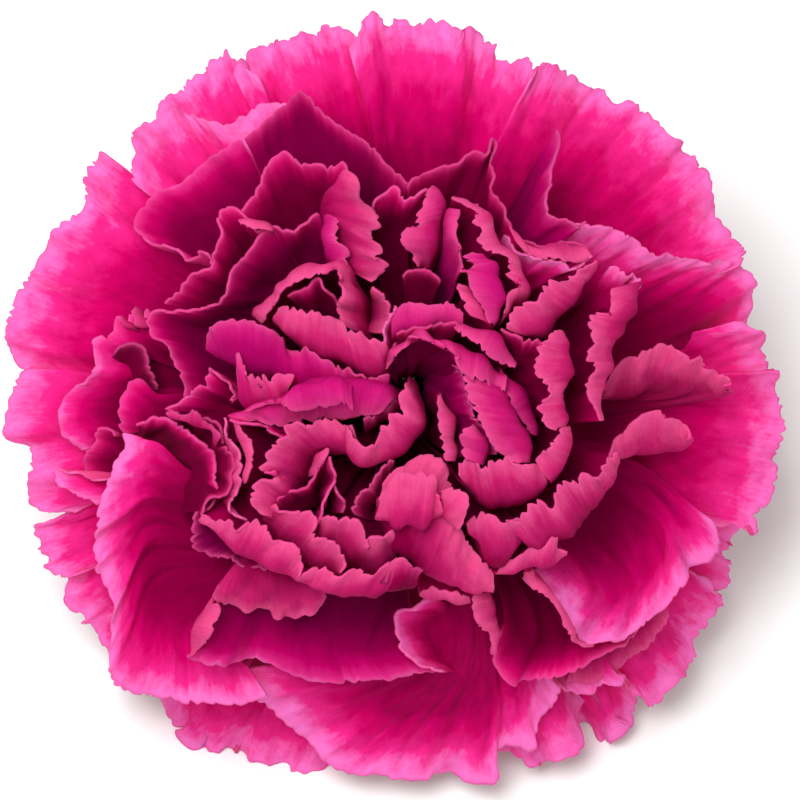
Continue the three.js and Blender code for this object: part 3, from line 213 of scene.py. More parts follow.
# Middle petals stand inside the guards. Each has the rows of its bends and its rim.
MIDDLE = {
    # the lower side
    "south": [
        [(30, 28.4, 28, 28, 25, 24), (1, -20.8), (3, -22), (5.4, -22.6), (8, -22.2), (10.6, -21.8),
         (12.6, -21.2)],
        [(27.8, 26.2, 25.5, 25, 23, 23), (1, -24.4), (2.8, -25.8), (5.4, -26.4), (8, -26.2),
         (10.6, -25.6), (13, -24.6)],
        [(22.5, 21, 17.5, 14, 15, 15, 14, 15.5, 17, 19, 23), (-17.5, -27), (-15.4, -29), (-13.6, -30.7),
         (-13, -31.2), (-12, -32.3), (-11.5, -32.8), (-10, -34), (-8.8, -34.8), (-7.5, -36),
         (-5.9, -37.3), (-2.5, -37.7), (0, -38.3), (2.3, -38.4), (4.7, -38), (7.7, -38.6), (9.4, -38.4),
         (9.3, -36.6), (9.4, -35.1), (11.3, -35), (13.6, -35.2), (13.8, -33.5), (14.2, -32), (15, -31),
         (16, -29.3), (15.9, -28.2)],
    ],
    "southLeft": [
        [(33, 31, 29.5, 29.5, 28.5), (-17, -18.5), (-11, -19.5), (-6, -19.8), (-2, -19.6), (2.6, -19.2)],
        [(31, 29.5, 28.5, 28.5, 28), (-19.5, -24.5), (-14, -24.2), (-8, -24.6), (-3, -24.6), (0.8, -24)],
        [(30, 28.5, 28, 27.5, 27.5, 28.5), (-21.4, -25.7), (-20, -26.2), (-18, -26.5), (-16, -26.2),
         (-14, -26.2), (-13, -26.5), (-11, -27.5), (-9, -28), (-7, -28.1), (-4.5, -28.3), (-2, -27.8),
         (-1, -28), (0, -27.8), (1.5, -27.4), (3.9, -27.1)],
    ],
    "southCorner": [
        [(30.5, 31.8, 33), (-21.2, -25.5), (-20, -23), (-18.6, -20.2)],
        [(31.6, 33, 34), (-19.8, -24.8), (-18.4, -22.8), (-17.7, -21), (-17.9, -20.2)],
    ],
    "southFringe": [
        [(36, 37, 37, 36), (-17.5, -17.5), (-14, -17), (-10, -17.5), (-7.5, -18)],
        [(33.5, 32.5, 32.5, 34), (-18.8, -19.8), (-17.5, -20.5), (-16, -20.7), (-15, -21), (-13.8, -20.7),
         (-13, -20.8), (-12.2, -21.5), (-11.5, -21.3), (-10.5, -21.8), (-9.5, -21.2), (-8.8, -21),
         (-7.8, -20.3), (-7.3, -19.6)],
    ],
    # the left side
    "southWestBowl": [
        [(32, 28, 26, 26.5, 27.5, 29), (-19.6, -7.4), (-20.4, -9.4), (-20, -12), (-18.5, -15), (-15, -18),
         (-11, -20)],
        [(35.4, 32, 27, 24.5, 25, 26), (-23.8, -4.3), (-24.6, -8), (-25, -13), (-24, -18), (-21, -22.5),
         (-16.5, -24.5)],
        [(33, 31, 29.5, 27.5, 25, 22, 20, 21, 23, 24.5), (-27.6, -3.2), (-27.3, -4.2), (-27.4, -5),
         (-28.4, -6), (-28.7, -7.5), (-29.2, -8.3), (-29.9, -10), (-30.2, -12.5), (-30.6, -15.8),
         (-30.1, -16.3), (-30.3, -17.2), (-29, -19.5), (-28.7, -20.5), (-28.8, -23), (-29.1, -27),
         (-28, -28.5), (-26.8, -29.5), (-25, -29.9), (-21.5, -30.2), (-19.6, -30.6), (-18, -30.4),
         (-16, -30.5), (-14.5, -30.2), (-13.2, -29.6)],
    ],
    "westWing": [
        [(28, 26, 26, 26.5), (-20, 4.5), (-22, 1.5), (-22.5, -1.5), (-22, -4)],
        [(30, 29.5, 28.5, 29), (-27.4, 5), (-28.2, 1.8), (-29, -1.4), (-28.2, -4)],
        [(31, 29.5, 26.5, 25.5, 26.5), (-29.7, 6.2), (-30.7, 5.8), (-30.4, 4.5), (-30.7, 3.2),
         (-31.6, 1.8), (-33, 0.9), (-33.8, -0.1), (-34.2, -1.8), (-33.9, -3.4), (-33, -4.3),
         (-31.8, -5.2), (-30.8, -5.2)],
    ],
    "westSpike": [
        [(27.5, 27), (-24, -7), (-24.6, -9.4)],
        [(27.5, 26.5, 24.5, 25, 26.5), (-29.4, -8.3), (-31, -8.1), (-33, -7.6), (-34.6, -7.3),
         (-34.2, -8.2), (-33, -9), (-31.5, -10.1), (-29.9, -10.1)],
    ],
    "westCrumple": [
        [(31, 31, 31.5), (-22, 3), (-22, 5), (-21, 7)],
        [(29.5, 30.5, 31, 32), (-29.2, 6), (-28.7, 7), (-28.3, 8.4), (-27.8, 7.5), (-27.3, 7.5),
         (-26.9, 9), (-26.4, 7.4), (-25.8, 7.3), (-25.3, 9), (-24.8, 7.6)],
    ],
    "westLine": [
        [(30, 29, 28.5), (-28, 4.4), (-27.2, 2.6), (-26.2, 1)],
        [(31.5, 33, 33.5, 33, 32), (-28.3, 5.3), (-27.2, 5.7), (-26.3, 5.4), (-25.4, 4.4), (-24.8, 3.2),
         (-24.5, 2), (-24.4, 0.8)],
    ],
    "westRound": [
        [(33, 33.5, 33), (-23.4, -3), (-23.8, -1), (-23.4, 0.6)],
        [(31, 31.5, 32, 32, 32), (-27.4, -3.4), (-28, -2.4), (-27.8, -0.8), (-27.5, 0.8), (-27, 1.8),
         (-26.2, 2.2), (-25.3, 1.9), (-24.6, 1)],
    ],
    "westCup": [
        [(33, 33, 33.5, 34.5, 35.5, 37, 38), (-15, -0.5), (-15.5, 2), (-16, 5), (-14.5, 8), (-12, 10.5),
         (-9, 13), (-6.5, 14)],
        [(36, 37, 38, 39, 40, 41, 42, 43, 43), (-21.6, -0.3), (-21.5, 1.2), (-21.9, 2.5), (-22.5, 4),
         (-22.7, 5), (-23.5, 5.8), (-24.5, 6.3), (-25, 7), (-24.8, 8.1), (-23.3, 8.1), (-22, 8.8),
         (-20.5, 9.1), (-19.5, 9.4), (-18.5, 9.8), (-17, 11.5), (-16, 13.3), (-15, 15), (-13.5, 16.2),
         (-12.8, 16.5), (-11, 16.4), (-10, 16.5), (-9, 17.3), (-8, 18.5)],
    ],
    # the top
    "starLeft": [
        [(33, 34, 35, 36, 37), (-15.5, 7.5), (-15, 9.5), (-14, 11.5), (-12.5, 12.5), (-10.5, 12.5)],
        [(37, 38, 40, 42, 42.5, 42, 42), (-23.4, 9.5), (-22.5, 10.3), (-21.5, 11.2), (-20.5, 12.2),
         (-19.5, 13), (-18.8, 13.4), (-18.7, 14.5), (-18, 16.5), (-17.4, 18.7), (-16, 18.4), (-14.8, 17),
         (-12.8, 16.5)],
    ],
    "starTop": [
        [(35, 35, 35.5, 36, 37), (-10.5, 12), (-9.5, 14), (-8, 15.5), (-6, 16), (-4, 15.5)],
        [(41, 41, 40, 40, 41, 41, 42), (-16, 18.4), (-15, 19.5), (-13.5, 21.5), (-12.5, 23.8),
         (-11.6, 24.6), (-10.5, 24), (-9.5, 23.4), (-8, 23.2), (-7.3, 22.9), (-6, 23.6), (-5.4, 23.7),
         (-4.7, 21.7)],
    ],
    "northWestCup": [
        [(32, 31.5, 31.5, 32, 32.5, 33), (-13, 9.5), (-14.5, 11.5), (-15.5, 13), (-15, 14.5), (-13.5, 16),
         (-11.5, 17.5)],
        [(36, 35, 33, 30.5, 30, 31, 33, 34), (-18.7, 13.5), (-18.9, 14.5), (-19.8, 15), (-21, 14.4),
         (-22.5, 15.3), (-23.8, 16), (-25, 16), (-26.2, 16.8), (-26.5, 18), (-25.5, 19.3), (-24, 20.8),
         (-22, 21.5), (-20, 23.3), (-16, 26)],
    ],
    "northFold": [
        [(34, 34, 35, 36, 37), (-9, 13), (-7.5, 16.5), (-5, 18), (-2.5, 17.8), (-0.5, 15.5)],
        [(35, 34.5, 36, 37, 38, 40), (-15.5, 26), (-13, 28), (-11, 30), (-10, 30.7), (-8, 28.7),
         (-6, 27.2), (-4, 26), (-2, 24.6), (-1, 23.5), (0.5, 21.5)],
    ],
    "northErect": [
        [(36, 36, 36, 36, 37, 37), (1, 14), (4, 15), (6.5, 15), (8, 13.5), (9.5, 12), (11.5, 11)],
        [(41, 42, 42, 41, 41, 41, 41, 40), (0.8, 21.3), (2, 22), (3.5, 22.8), (5, 23.2), (6.5, 23.7),
         (7.8, 24.2), (8.4, 24), (8.8, 25), (9.4, 25.9), (9.2, 23.3), (9.6, 22), (9.7, 20), (10.2, 18.2),
         (11.2, 16.5), (12.5, 15.5), (14, 15), (15.5, 15.2), (17.5, 15.4), (18.5, 15.1), (18.7, 14.6)],
    ],
    "purpleFold": [
        [(33, 34, 35, 36), (9.5, 17), (10, 15.5), (10.5, 14), (11, 12.5)],
        [(34, 35, 37, 39, 39.5, 39), (15.5, 27), (15.9, 26), (15.8, 24.8), (15.2, 23.5), (14.8, 22),
         (14.9, 20), (15.1, 18.1), (16.5, 17.6), (17.8, 16.8), (18.8, 17.3)],
    ],
    # the right side
    "eastFan": [
        [(34, 33.5, 32, 30, 28.5, 29), (12.5, 11.5), (16, 11.5), (20, 10), (23.5, 8.5), (25.5, 6.5),
         (24.5, 4)],
        [(37, 37, 35, 32, 29, 26, 22, 19, 18), (16.5, 17.6), (19, 17.2), (20, 17.3), (21, 17),
         (22.5, 16.5), (24, 15.5), (25.3, 14.7), (26, 14.5), (27, 14.4), (27.5, 14), (29, 14), (31, 13.5),
         (32, 14), (34.2, 13.4), (35.2, 12.5), (35.3, 10.5), (35.1, 9), (34.7, 7.6)],
    ],
    "eastFoldHigh": [
        [(34, 33, 31, 29, 27), (19.6, 0.6), (22.5, 0.2), (26, 0.6), (29.5, 0.7), (33, 0.8)],
        [(36, 36.5, 36, 35, 33, 30), (20.5, 2.5), (21, 3), (22, 4), (23.3, 4.5), (24.5, 5.2), (25, 5),
         (26.3, 5.4), (27.2, 5), (28.5, 4.3), (30.3, 4.1), (30, 3.5), (31.5, 2.8), (32.7, 2.3),
         (32.7, 1.5)],
    ],
    "eastFoldLow": [
        [(35, 34.5, 33, 32, 31), (20.9, -7.6), (21.7, -6.4), (22.9, -5.8), (25.1, -5.4), (27.9, -4.9),
         (28.8, -4)],
        [(36.5, 37, 36.5, 35.5, 33.5), (20.4, -5.6), (21.3, -4.8), (21.8, -3.7), (22.3, -3.5), (23, -2.2),
         (24, -1.5), (25, -1.2), (26, -1), (26, -1.5), (27.3, -1.8), (28.3, -2.4), (28.7, -3.2)],
    ],
    # the lower right
    "southEastBowl": [
        [(33, 30.5, 28.5, 28, 30, 32, 34), (18, -4.4), (20, -8.6), (19.5, -12), (18, -14), (16, -14.8),
         (14, -14.4), (12.5, -13.5)],
        [(31.4, 28.5, 26.4, 27, 30, 33, 35), (24, -6.6), (26, -11.2), (25.5, -15.5), (23, -18.6),
         (19.5, -19.6), (16.6, -18), (14.6, -16)],
        [(26, 25, 25.5, 27, 28, 29, 30, 31, 33, 35.5, 37), (31.5, -12.3), (32, -13.7), (32, -15),
         (31.2, -15.7), (30.9, -16.2), (29, -16.8), (28.2, -18.3), (27, -20), (26.5, -20.7), (25, -21.8),
         (23.5, -23), (22, -24.1), (20.4, -24.1), (18.5, -24.3), (17.5, -23.5), (16.5, -22.5),
         (16.4, -21.8), (16, -20.8), (15.3, -20), (14, -19), (13, -18.2), (12.4, -17.6)],
    ],
    "southEastCup": [
        [(26.5, 26, 27, 30), (18.5, -14.5), (16, -17.4), (12.5, -18.6), (9.6, -18)],
        [(25.6, 25, 25.5, 29), (22.5, -19.5), (18.5, -22.4), (14, -23.6), (10.4, -21.6)],
        [(26.4, 28, 27.5, 26.5, 26.5, 28.5, 31), (24.8, -22), (23.4, -23.2), (22, -24.3), (20, -25.5),
         (17.5, -26.8), (15, -27.9), (13.5, -28), (11.5, -28.2), (10.8, -28.5), (9.8, -27.2), (9.4, -25),
         (9.8, -23.2)],
    ],
    "southEastLayer": [
        [(25, 24.5, 24.5, 24), (24.6, -18.6), (23, -21.4), (20.6, -23.6), (17.6, -25)],
        [(25, 23, 22, 21.5, 21.5), (26.5, -20.4), (26.8, -21.5), (25.8, -23.3), (25, -24.5), (23.5, -26),
         (21, -27.3), (19, -28.7), (16.6, -28.6)],
    ],
    "bowlFlap": [
        [(38, 36.6, 34.8, 32.4, 29), (12.9, -16.9), (13.5, -18), (15, -19.1), (16, -20.2), (16.8, -21.4),
         (17.1, -22.5), (17.9, -23.3), (19.4, -24)],
        [(38, 37, 35.4, 33.6, 30.4), (12, -17), (12.6, -18.3), (14.4, -19.5), (15.7, -20.8),
         (16.2, -21.8), (16.4, -22.8), (17.3, -23.9), (19.2, -24.5)],
    ],
    # small ones between the others
    "southMargin": [
        [(25, 23, 21, 19), (6, -20.4), (6.6, -22.4), (7, -24.6), (7.6, -27)],
        [(35, 34, 32.5, 30.6, 29.6), (2.6, -19.2), (0.9, -20.6), (0, -22.4), (0, -23.8), (0.9, -25.4),
         (2.4, -26.3), (4, -27)],
    ],
    "westPocket": [
        [(29, 28.5, 28), (-24, -4), (-25, -6), (-25.4, -8)],
        [(30, 30.5, 29, 27.5, 27), (-27.6, -3.4), (-29.4, -2.9), (-30.3, -3.2), (-30.5, -4.4),
         (-31.3, -5.1), (-31.6, -6.3), (-31.4, -7.6), (-30.6, -8.2)],
    ],
    "southEastFlap": [
        [(21, 21, 22, 23), (13.5, -26), (16, -26.5), (18.5, -26.5), (21, -26)],
        [(22, 19.5, 20.5, 21), (15.9, -28.4), (17.2, -29.3), (19.3, -29.6), (20, -28.7), (21, -28.5),
         (22.3, -28.5), (22.2, -27.8)],
    ],
}

# A heart petal has its brow, the line where it folds, and its rim. Most curl outward over the brow.
HEART = {
    # the left side
    "westLobe": [
        [(41, 44, 45.5, 45.5, 44, 41), (-14.7, 8.4), (-13.3, 10), (-11.8, 11.6), (-10, 12.8),
         (-8.5, 13.4), (-7, 13.8), (-5.8, 13.6), (-4.8, 12.3), (-4.2, 10.5), (-3.9, 8), (-3.9, 6.5)],
        [(42, 45, 46, 46.4, 45.5, 43), (-13.4, 7.4), (-12.9, 8.8), (-12.4, 9.8), (-11.4, 10.8),
         (-10, 11.5), (-8.6, 12), (-7.6, 12.5), (-6.9, 13.1), (-6.2, 12.8), (-5.4, 12.3), (-5.5, 11.2),
         (-6.1, 10), (-6.3, 9), (-5.8, 7.6)],
    ],
    "westInner": [
        [(38, 38, 38), (-8, 6.5), (-6.8, 7.5), (-5.5, 7)],
        [(43.5, 44.5, 45, 44.5, 43), (-11.2, 10.6), (-10, 10.8), (-9, 11.2), (-8.1, 12), (-7.5, 11.2),
         (-6.5, 10), (-6.1, 9.3)],
    ],
    "northCurl": [
        [(42.5, 43.5, 44.5, 44.5, 43), (-5.4, 12.4), (-6.2, 15), (-6.6, 17.4), (-7.6, 19.2), (-7.2, 20.8),
         (-5.5, 22.6)],
        [(44, 45, 45.5, 45, 44, 43.2), (-2.7, 11.5), (-1, 13.2), (-2.4, 13.8), (-1.5, 14.7), (-2.6, 16),
         (-1.8, 16.7), (-2.2, 18), (-3.2, 19.5), (-4, 21.5), (-4.8, 22.4)],
    ],
    "westBand": [
        [(43, 44, 44.5, 44.5, 44), (-12.6, 8), (-11.1, 6.7), (-9.5, 5.8), (-7.9, 4.9), (-5.9, 3.7),
         (-3.9, 2.8), (-2.5, 2.5), (-1.7, 3.3), (-1.2, 5)],
        [(43.5, 44.5, 45, 45, 45.2), (-12.05, 9.3), (-11.1, 9.4), (-10.1, 9.2), (-9.1, 8.8), (-8.2, 8.9),
         (-7.7, 8.5), (-6.3, 8.3), (-5.5, 7.8), (-5, 7.1), (-3.9, 7), (-2.9, 6.3), (-1.8, 6)],
    ],
    "westStrip": [
        [(39, 40, 40), (-2.6, 2), (-0.8, 4.6), (0.4, 8)],
        [(43.6, 44.6, 45), (-2.2, 2.7), (-1.6, 5), (-1.2, 7.5), (-0.8, 9.4)],
    ],
    "northLeaf": [
        [(39, 39, 39), (-3.4, 6.6), (-3, 8.4), (-2.8, 10)],
        [(43, 44, 44), (-1.9, 6.6), (-1.3, 8), (-1.1, 9.2), (-1.6, 10.4), (-2.5, 11.4)],
    ],
    "westTongue": [
        [(39.5, 41.5, 43, 42.5, 42.5, 42), (-19, 5), (-17.6, 4.2), (-15.4, 3.3), (-13.4, 2.6), (-11.5, 2),
         (-9.9, 1.6), (-7.9, 1.2), (-6, 1), (-3.5, 0.8), (-1.2, 1)],
        [(40.5, 43, 44.2, 43, 44.6, 45, 44.6), (-19.3, 6), (-18.9, 7), (-18, 7.8), (-16.6, 8.1),
         (-15.2, 8), (-14, 7.6), (-12.8, 7.1), (-11.3, 6.2), (-10.5, 5.1), (-9.5, 5.3), (-8.7, 5.1),
         (-7.5, 4.3), (-5.9, 3.4), (-4.7, 2.8), (-2.9, 2.3), (-0.9, 2.2)],
    ],
    "westFringe": [
        [(41.5, 42.5, 43.5), (-15.8, -0.3), (-15, -0.9), (-13.4, -0.5), (-12, -0.1), (-11, 0.9)],
        [(43, 43.5, 44, 44), (-16.3, 3), (-15.9, 5), (-15.1, 2.4), (-14.6, 2.8), (-14, 1.3), (-13.6, 2.7),
         (-13.1, 1.9), (-12.4, 2.6), (-11.4, 2.7), (-10.3, 2.7)],
    ],
    "westEdge": [
        [(35, 36, 36, 37), (-16, -2), (-15, -1), (-14, 0.5), (-13.5, 1.5)],
        [(37, 38, 40, 40.5), (-23.4, -1), (-22.6, -0.8), (-21.5, -0.1), (-20.5, 0.9), (-19.5, 1.9),
         (-19.1, 3.3), (-18, 2.4), (-17, 1), (-16.7, -0.4)],
    ],
    "westFrill": [
        [(35, 35.5, 36, 36), (-20.5, -3), (-19.5, -5), (-19, -7.5), (-19.5, -10)],
        [(37, 38.5, 40, 41, 41, 40, 38.5), (-23.3, -1.2), (-22.5, -1.1), (-21.2, -1.7), (-20, -1),
         (-18.6, -2), (-17.6, -3.4), (-17, -4.8), (-16.6, -6), (-16.7, -8), (-17.4, -9.3), (-18.6, -10),
         (-20, -11.3)],
    ],
    "westHoop": [
        [(29, 27.5, 26.5, 27, 28), (-26, -3.8), (-24.4, -5.6), (-22.8, -7.6), (-22, -9.4),
         (-21.6, -11.2)],
        [(35.5, 37, 38.5, 39, 39, 38), (-26, -2.7), (-24.2, -2), (-22.4, -2.2), (-21, -2.9),
         (-19.8, -3.8), (-18.8, -5), (-18.3, -6.4), (-18.2, -8), (-18.6, -9.6), (-19.4, -10.8)],
    ],
    "innerHoop": [
        [(37, 37, 37, 37), (-16.5, -4.5), (-17, -6.5), (-17.4, -8.5), (-16.8, -11)],
        [(41, 42, 42.3, 42, 41, 40.5), (-17.2, -1.6), (-17, -2.6), (-16.2, -4), (-15.7, -5.6),
         (-15.5, -7.4), (-16.1, -8.8), (-16.6, -10.1), (-16.2, -11.1), (-15, -11.8)],
    ],
    "paleHoop": [
        [(42, 42.5, 42.5, 41.5), (-17, -1.7), (-16.3, -3.2), (-15.6, -5), (-15.2, -6.8), (-15.1, -8.3)],
        [(43, 44, 44, 43), (-15.8, -2.4), (-15.2, -3.2), (-14.5, -4.2), (-14.7, -5.4), (-14.5, -6.6),
         (-14.9, -8)],
    ],
    # the hood and the curl by the middle
    "arch": [
        [(42, 41.4, 40, 39, 39, 40), (-3.4, -6), (-4.6, -5.6), (-6, -5.4), (-7.4, -5.6), (-8.4, -6.6),
         (-8.8, -8.2), (-9.6, -9.8), (-11, -11), (-12.4, -12)],
        [(43.6, 45.4, 46, 45.5, 44.5, 43.2, 42), (-4.9, -2.3), (-5.6, -2.5), (-6.7, -1.7), (-7.9, -1.9),
         (-9.1, -2.3), (-10.5, -2.1), (-11.1, -2.3), (-11, -3.6), (-12, -4.1), (-13.1, -4.8), (-13.6, -6),
         (-14, -6.9), (-12.4, -6.8), (-12.4, -7.6), (-13.6, -7.9), (-14.7, -8.9), (-14.6, -10.4),
         (-12.8, -11.3)],
    ],
    "hood": [
        [(42, 44, 45.5, 46, 46, 45), (-17, -1.6), (-15.5, -1), (-13.2, -0.6), (-11.9, 0), (-11.3, 0.8),
         (-10.3, 1.3), (-8.7, 1.8), (-6.9, 2), (-5.5, 2), (-3.9, 1.9), (-2.7, 1.5), (-1.7, 0.9),
         (-0.9, -0.1)],
        [(42.5, 43.5, 44, 43.6, 43.6, 44.4), (-15.6, -1.8), (-13.5, -2.2), (-12, -2.6), (-10.6, -2.5),
         (-8.8, -2.4), (-7, -2.1), (-5.2, -2.2), (-3.8, -1.6), (-2.6, -1.3), (-1.6, -1)],
    ],
    "hoodEdge": [
        [(43, 43, 42), (-12.5, -2), (-11.5, -3), (-10.5, -4)],
        [(42.6, 43.6, 43.6, 43.4), (-17.1, -1.7), (-14.8, -2.3), (-13.6, -2.7), (-12.1, -3.5),
         (-11.1, -3.9)],
    ],
    "hoodLayer": [
        [(44.4, 46.6, 47.4, 47.4, 46.6), (-14.9, -0.8), (-12, 0.2), (-9.6, 1.3), (-7, 1.7), (-4.7, 1.3)],
        [(44.4, 46, 46.6, 46.6, 45.8), (-15.3, -1.3), (-13.4, -0.8), (-12, -0.6), (-10, -1), (-8, -1),
         (-6.4, -0.5), (-5.2, -0.6), (-4.6, -1.2)],
    ],
    "centreCurl": [
        [(44, 43.4, 43.4, 44, 44.5, 44.5), (-5.6, -3.4), (-5, -5), (-4, -6), (-2.7, -6.4), (-1, -6),
         (0.5, -5), (1.7, -3.5), (2.2, -1.8), (1.8, 0.6), (0.8, 1.7)],
        [(45.2, 45, 45, 45.5, 45.8, 45.2), (-5.1, -2.2), (-4.6, -3.1), (-4, -3.9), (-2.2, -4.2),
         (-2, -2.6), (-1.1, -2.1), (-1.2, -1.2), (0, -1.5), (-0.1, 0), (0, 0.8), (0.7, 1.5)],
    ],
    # the lower left
    "lowRidge": [
        [(38, 38, 38, 38.5), (-9.5, -12), (-8.8, -10.5), (-7.8, -8.8), (-7.2, -7)],
        [(42, 42.6, 43, 43.6), (-12.6, -10.1), (-11.1, -9.2), (-9.8, -8.4), (-8.5, -7.6), (-7.9, -6.6),
         (-7.1, -5.8), (-6.8, -4.8)],
    ],
    "ridgeBack": [
        [(41, 42, 43), (-9, -7.6), (-8.8, -6.4), (-8.2, -5.2)],
        [(42.5, 43.2, 43.8), (-8.1, -7.2), (-7.4, -6), (-6.8, -4.7)],
    ],
    "innerBlade": [
        [(38, 38, 38), (-8, -8), (-7.6, -10), (-8, -12)],
        [(43.4, 43, 42.4), (-6.7, -5.4), (-6.7, -8), (-7, -10), (-7.8, -12.4)],
    ],
    "innerLeaf": [
        [(38, 38, 38), (-7, -9), (-6.8, -10), (-6.4, -11)],
        [(42, 42, 41), (-6.6, -8.2), (-6, -8.7), (-5.7, -9.7), (-5.5, -11.2)],
    ],
    "lowCurl": [
        [(40, 38, 37.5, 37, 37), (-13.4, -11), (-13.2, -12.6), (-12.4, -14.4), (-11, -15.6),
         (-9.3, -16.6), (-7.4, -17.6), (-5.6, -18)],
        [(42.5, 43, 43.5, 43.5, 43, 42.5), (-12.4, -10.2), (-12, -11), (-10.6, -11), (-8.5, -11.2),
         (-8.4, -12.9), (-7.9, -13.5), (-7.1, -13.5), (-6.1, -14.1), (-5.7, -15.5), (-5.6, -16.1),
         (-5.9, -17)],
    ],
    "lowArch": [
        [(37, 37, 37, 38, 39), (-8.6, -14), (-7, -15.6), (-5, -17), (-3.2, -17.6), (-1.4, -17),
         (-0.2, -15)],
        [(42.5, 43.5, 43.5, 43, 43, 43), (-7.9, -12), (-7.1, -11.2), (-6.1, -11.5), (-5.1, -11.5),
         (-3.9, -11.9), (-3.5, -13.1), (-3.3, -14.5), (-3.1, -13.6), (-2.3, -13.3), (-1.5, -13.9),
         (-0.7, -12.7)],
    ],
    "lowBlade": [
        [(38, 39, 40), (-2.4, -12), (-2, -9.4), (-0.8, -7)],
        [(42, 42.6, 43, 43.6), (-4.9, -11.2), (-4.2, -9.9), (-3.6, -9), (-2.8, -8), (-1.8, -6.8),
         (-0.6, -5.6)],
    ],
    "lowerBand": [
        [(37.5, 39, 40, 40.5, 40.5), (-19.9, -11.8), (-18.8, -12.9), (-17.4, -13.9), (-16, -15.1),
         (-14.4, -16.1), (-12.8, -16.9), (-11.3, -17.5), (-10.1, -17.9)],
        [(38.5, 41, 42.5, 43.2, 43.2, 42.5), (-19.8, -11.7), (-18.8, -12.1), (-17.6, -11.6), (-17, -11.7),
         (-16.2, -12.7), (-15.2, -12.3), (-14.6, -11.7), (-13.9, -11.7), (-12.9, -12.5), (-12.4, -13.9),
         (-11.3, -14), (-10.3, -14.3), (-9.8, -14.9), (-9.9, -17.1)],
    ],
    "lowerCorner": [
        [(34, 33.5, 33, 33.5), (-16, -10.5), (-16.5, -12), (-15, -13.5), (-12.5, -14.5)],
        [(38, 36, 35.5, 36.5, 38), (-20, -11.5), (-20.8, -13.4), (-20.7, -14.6), (-19, -15.3),
         (-17, -15.9), (-15, -16.3), (-13.2, -16.6)],
    ],
    "southBand": [
        [(40, 40.5, 41, 41), (-10.3, -18), (-8.7, -18.7), (-6, -19.3), (-3, -19.4), (-0.9, -19)],
        [(42, 43, 43.2, 43.5, 43), (-9.9, -17.4), (-9.5, -17.1), (-8.3, -16.6), (-7.5, -16.6),
         (-6.7, -17.1), (-5.9, -17.2), (-4.7, -16.7), (-3.9, -16.7), (-2.9, -17.1), (-2.1, -16.7),
         (-0.9, -15.9), (0.2, -15.4), (1, -16), (1.9, -17)],
    ],
    "southFold": [
        [(41.4, 41.4, 41), (-2.4, -18.6), (-0.4, -18.9), (1.6, -18.2)],
        [(43.4, 43.8, 43.6), (-1.4, -17.4), (-0.4, -16.4), (0.5, -15.7), (1.4, -16.1), (2.1, -17)],
    ],
    # the top
    "northLobe": [
        [(43, 44, 44.4, 44, 43), (2.2, 13), (3, 15.1), (3.8, 17.4), (4.3, 19.2), (4.2, 20.4),
         (3.3, 21.2)],
        [(44, 45, 45.4, 45, 44), (1.6, 13.2), (1, 14.3), (0.2, 15.3), (0, 16.2), (0.4, 16.9), (1.4, 17.1),
         (1.3, 18.2), (2.1, 19), (2.5, 20.7)],
    ],
    "northEdge": [
        [(37, 38, 38), (-2.4, 15), (-0.5, 16.5), (1, 15.5)],
        [(42, 42.4, 42.8, 43), (-2.6, 18.6), (-2.4, 19.6), (-1.5, 20.5), (-0.5, 21), (0.3, 19.9),
         (1.5, 20.5), (3, 20.8)],
    ],
    "northInner": [
        [(40, 40, 40), (0.5, 9.6), (1.8, 9.8), (3.2, 9.4)],
        [(43.6, 44, 44), (0.6, 12), (1.2, 12.6), (2.6, 13.2), (3.2, 12.7), (3.8, 11.6)],
    ],
    "northBlade": [
        [(44, 44.5, 45, 45), (4.6, 18.9), (4.7, 18), (5, 16), (5.4, 14.4), (6, 12.8)],
        [(44.4, 45, 45.4, 45.2), (6.1, 18.8), (5.8, 17.4), (5.7, 15.5), (6.3, 13.4)],
    ],
    "northPocket": [
        [(40, 40, 40, 40), (5, 17), (5.6, 15), (6.2, 13.4), (7, 12.4)],
        [(42.4, 43, 43, 43), (6, 19.6), (8, 18.8), (9.2, 16.6), (9.6, 14.8)],
    ],
    "northEastCurl": [
        [(43, 44, 45, 45.4, 45.2, 44.4), (5.4, 20.4), (6.5, 19.9), (8, 19), (9.2, 18), (9.6, 16.5),
         (9.8, 15.2), (11, 14.3), (12, 13.2), (12.7, 12), (12.6, 10.7), (11.9, 9.7), (10, 7.8)],
        [(43.6, 45, 46, 46.4, 46.4, 45.6), (5, 20), (6.2, 19.3), (7.8, 18.2), (7, 17.6), (8, 16.7),
         (7.4, 16), (8, 14.9), (10, 13.9), (11.2, 13.7), (10.4, 13), (10.4, 12.3), (12, 11.3),
         (10.8, 10.7), (10.4, 9.3), (10.6, 8.7)],
    ],
    "northEastInner": [
        [(46, 46.6, 46.4, 46), (8.4, 14.4), (9.5, 13.4), (10.1, 11.6), (10, 9.6), (9.3, 7.4)],
        [(46, 46.8, 47.2, 46.8), (6.7, 14.3), (6, 14.1), (6.6, 13.3), (5.7, 12.8), (6.5, 12.5),
         (6.6, 11.6), (7.3, 10.2), (7.8, 9.3), (8.8, 7.7)],
    ],
    "northEastLeaf": [
        [(46, 46.6, 46.2), (6.6, 11.2), (8, 9.2), (9, 7.5)],
        [(46.2, 47, 46.6), (5.3, 11.8), (5.5, 11.2), (6, 10), (6.5, 8.5)],
    ],
    # the right side
    "centreBand": [
        [(43.5, 44.5, 45, 45.3), (-0.8, 6.7), (1.6, 6.9), (3.8, 7.3), (6.2, 7.3)],
        [(44, 45.2, 45.7, 46), (-0.7, 8.7), (0.3, 9.5), (1, 9.7), (2.8, 9.5), (3.8, 9.6), (4.5, 9.9),
         (5.3, 9.5), (6.2, 8.8)],
    ],
    "centreFacet": [
        [(42, 42, 42), (-0.4, 5), (2, 5), (4.6, 5)],
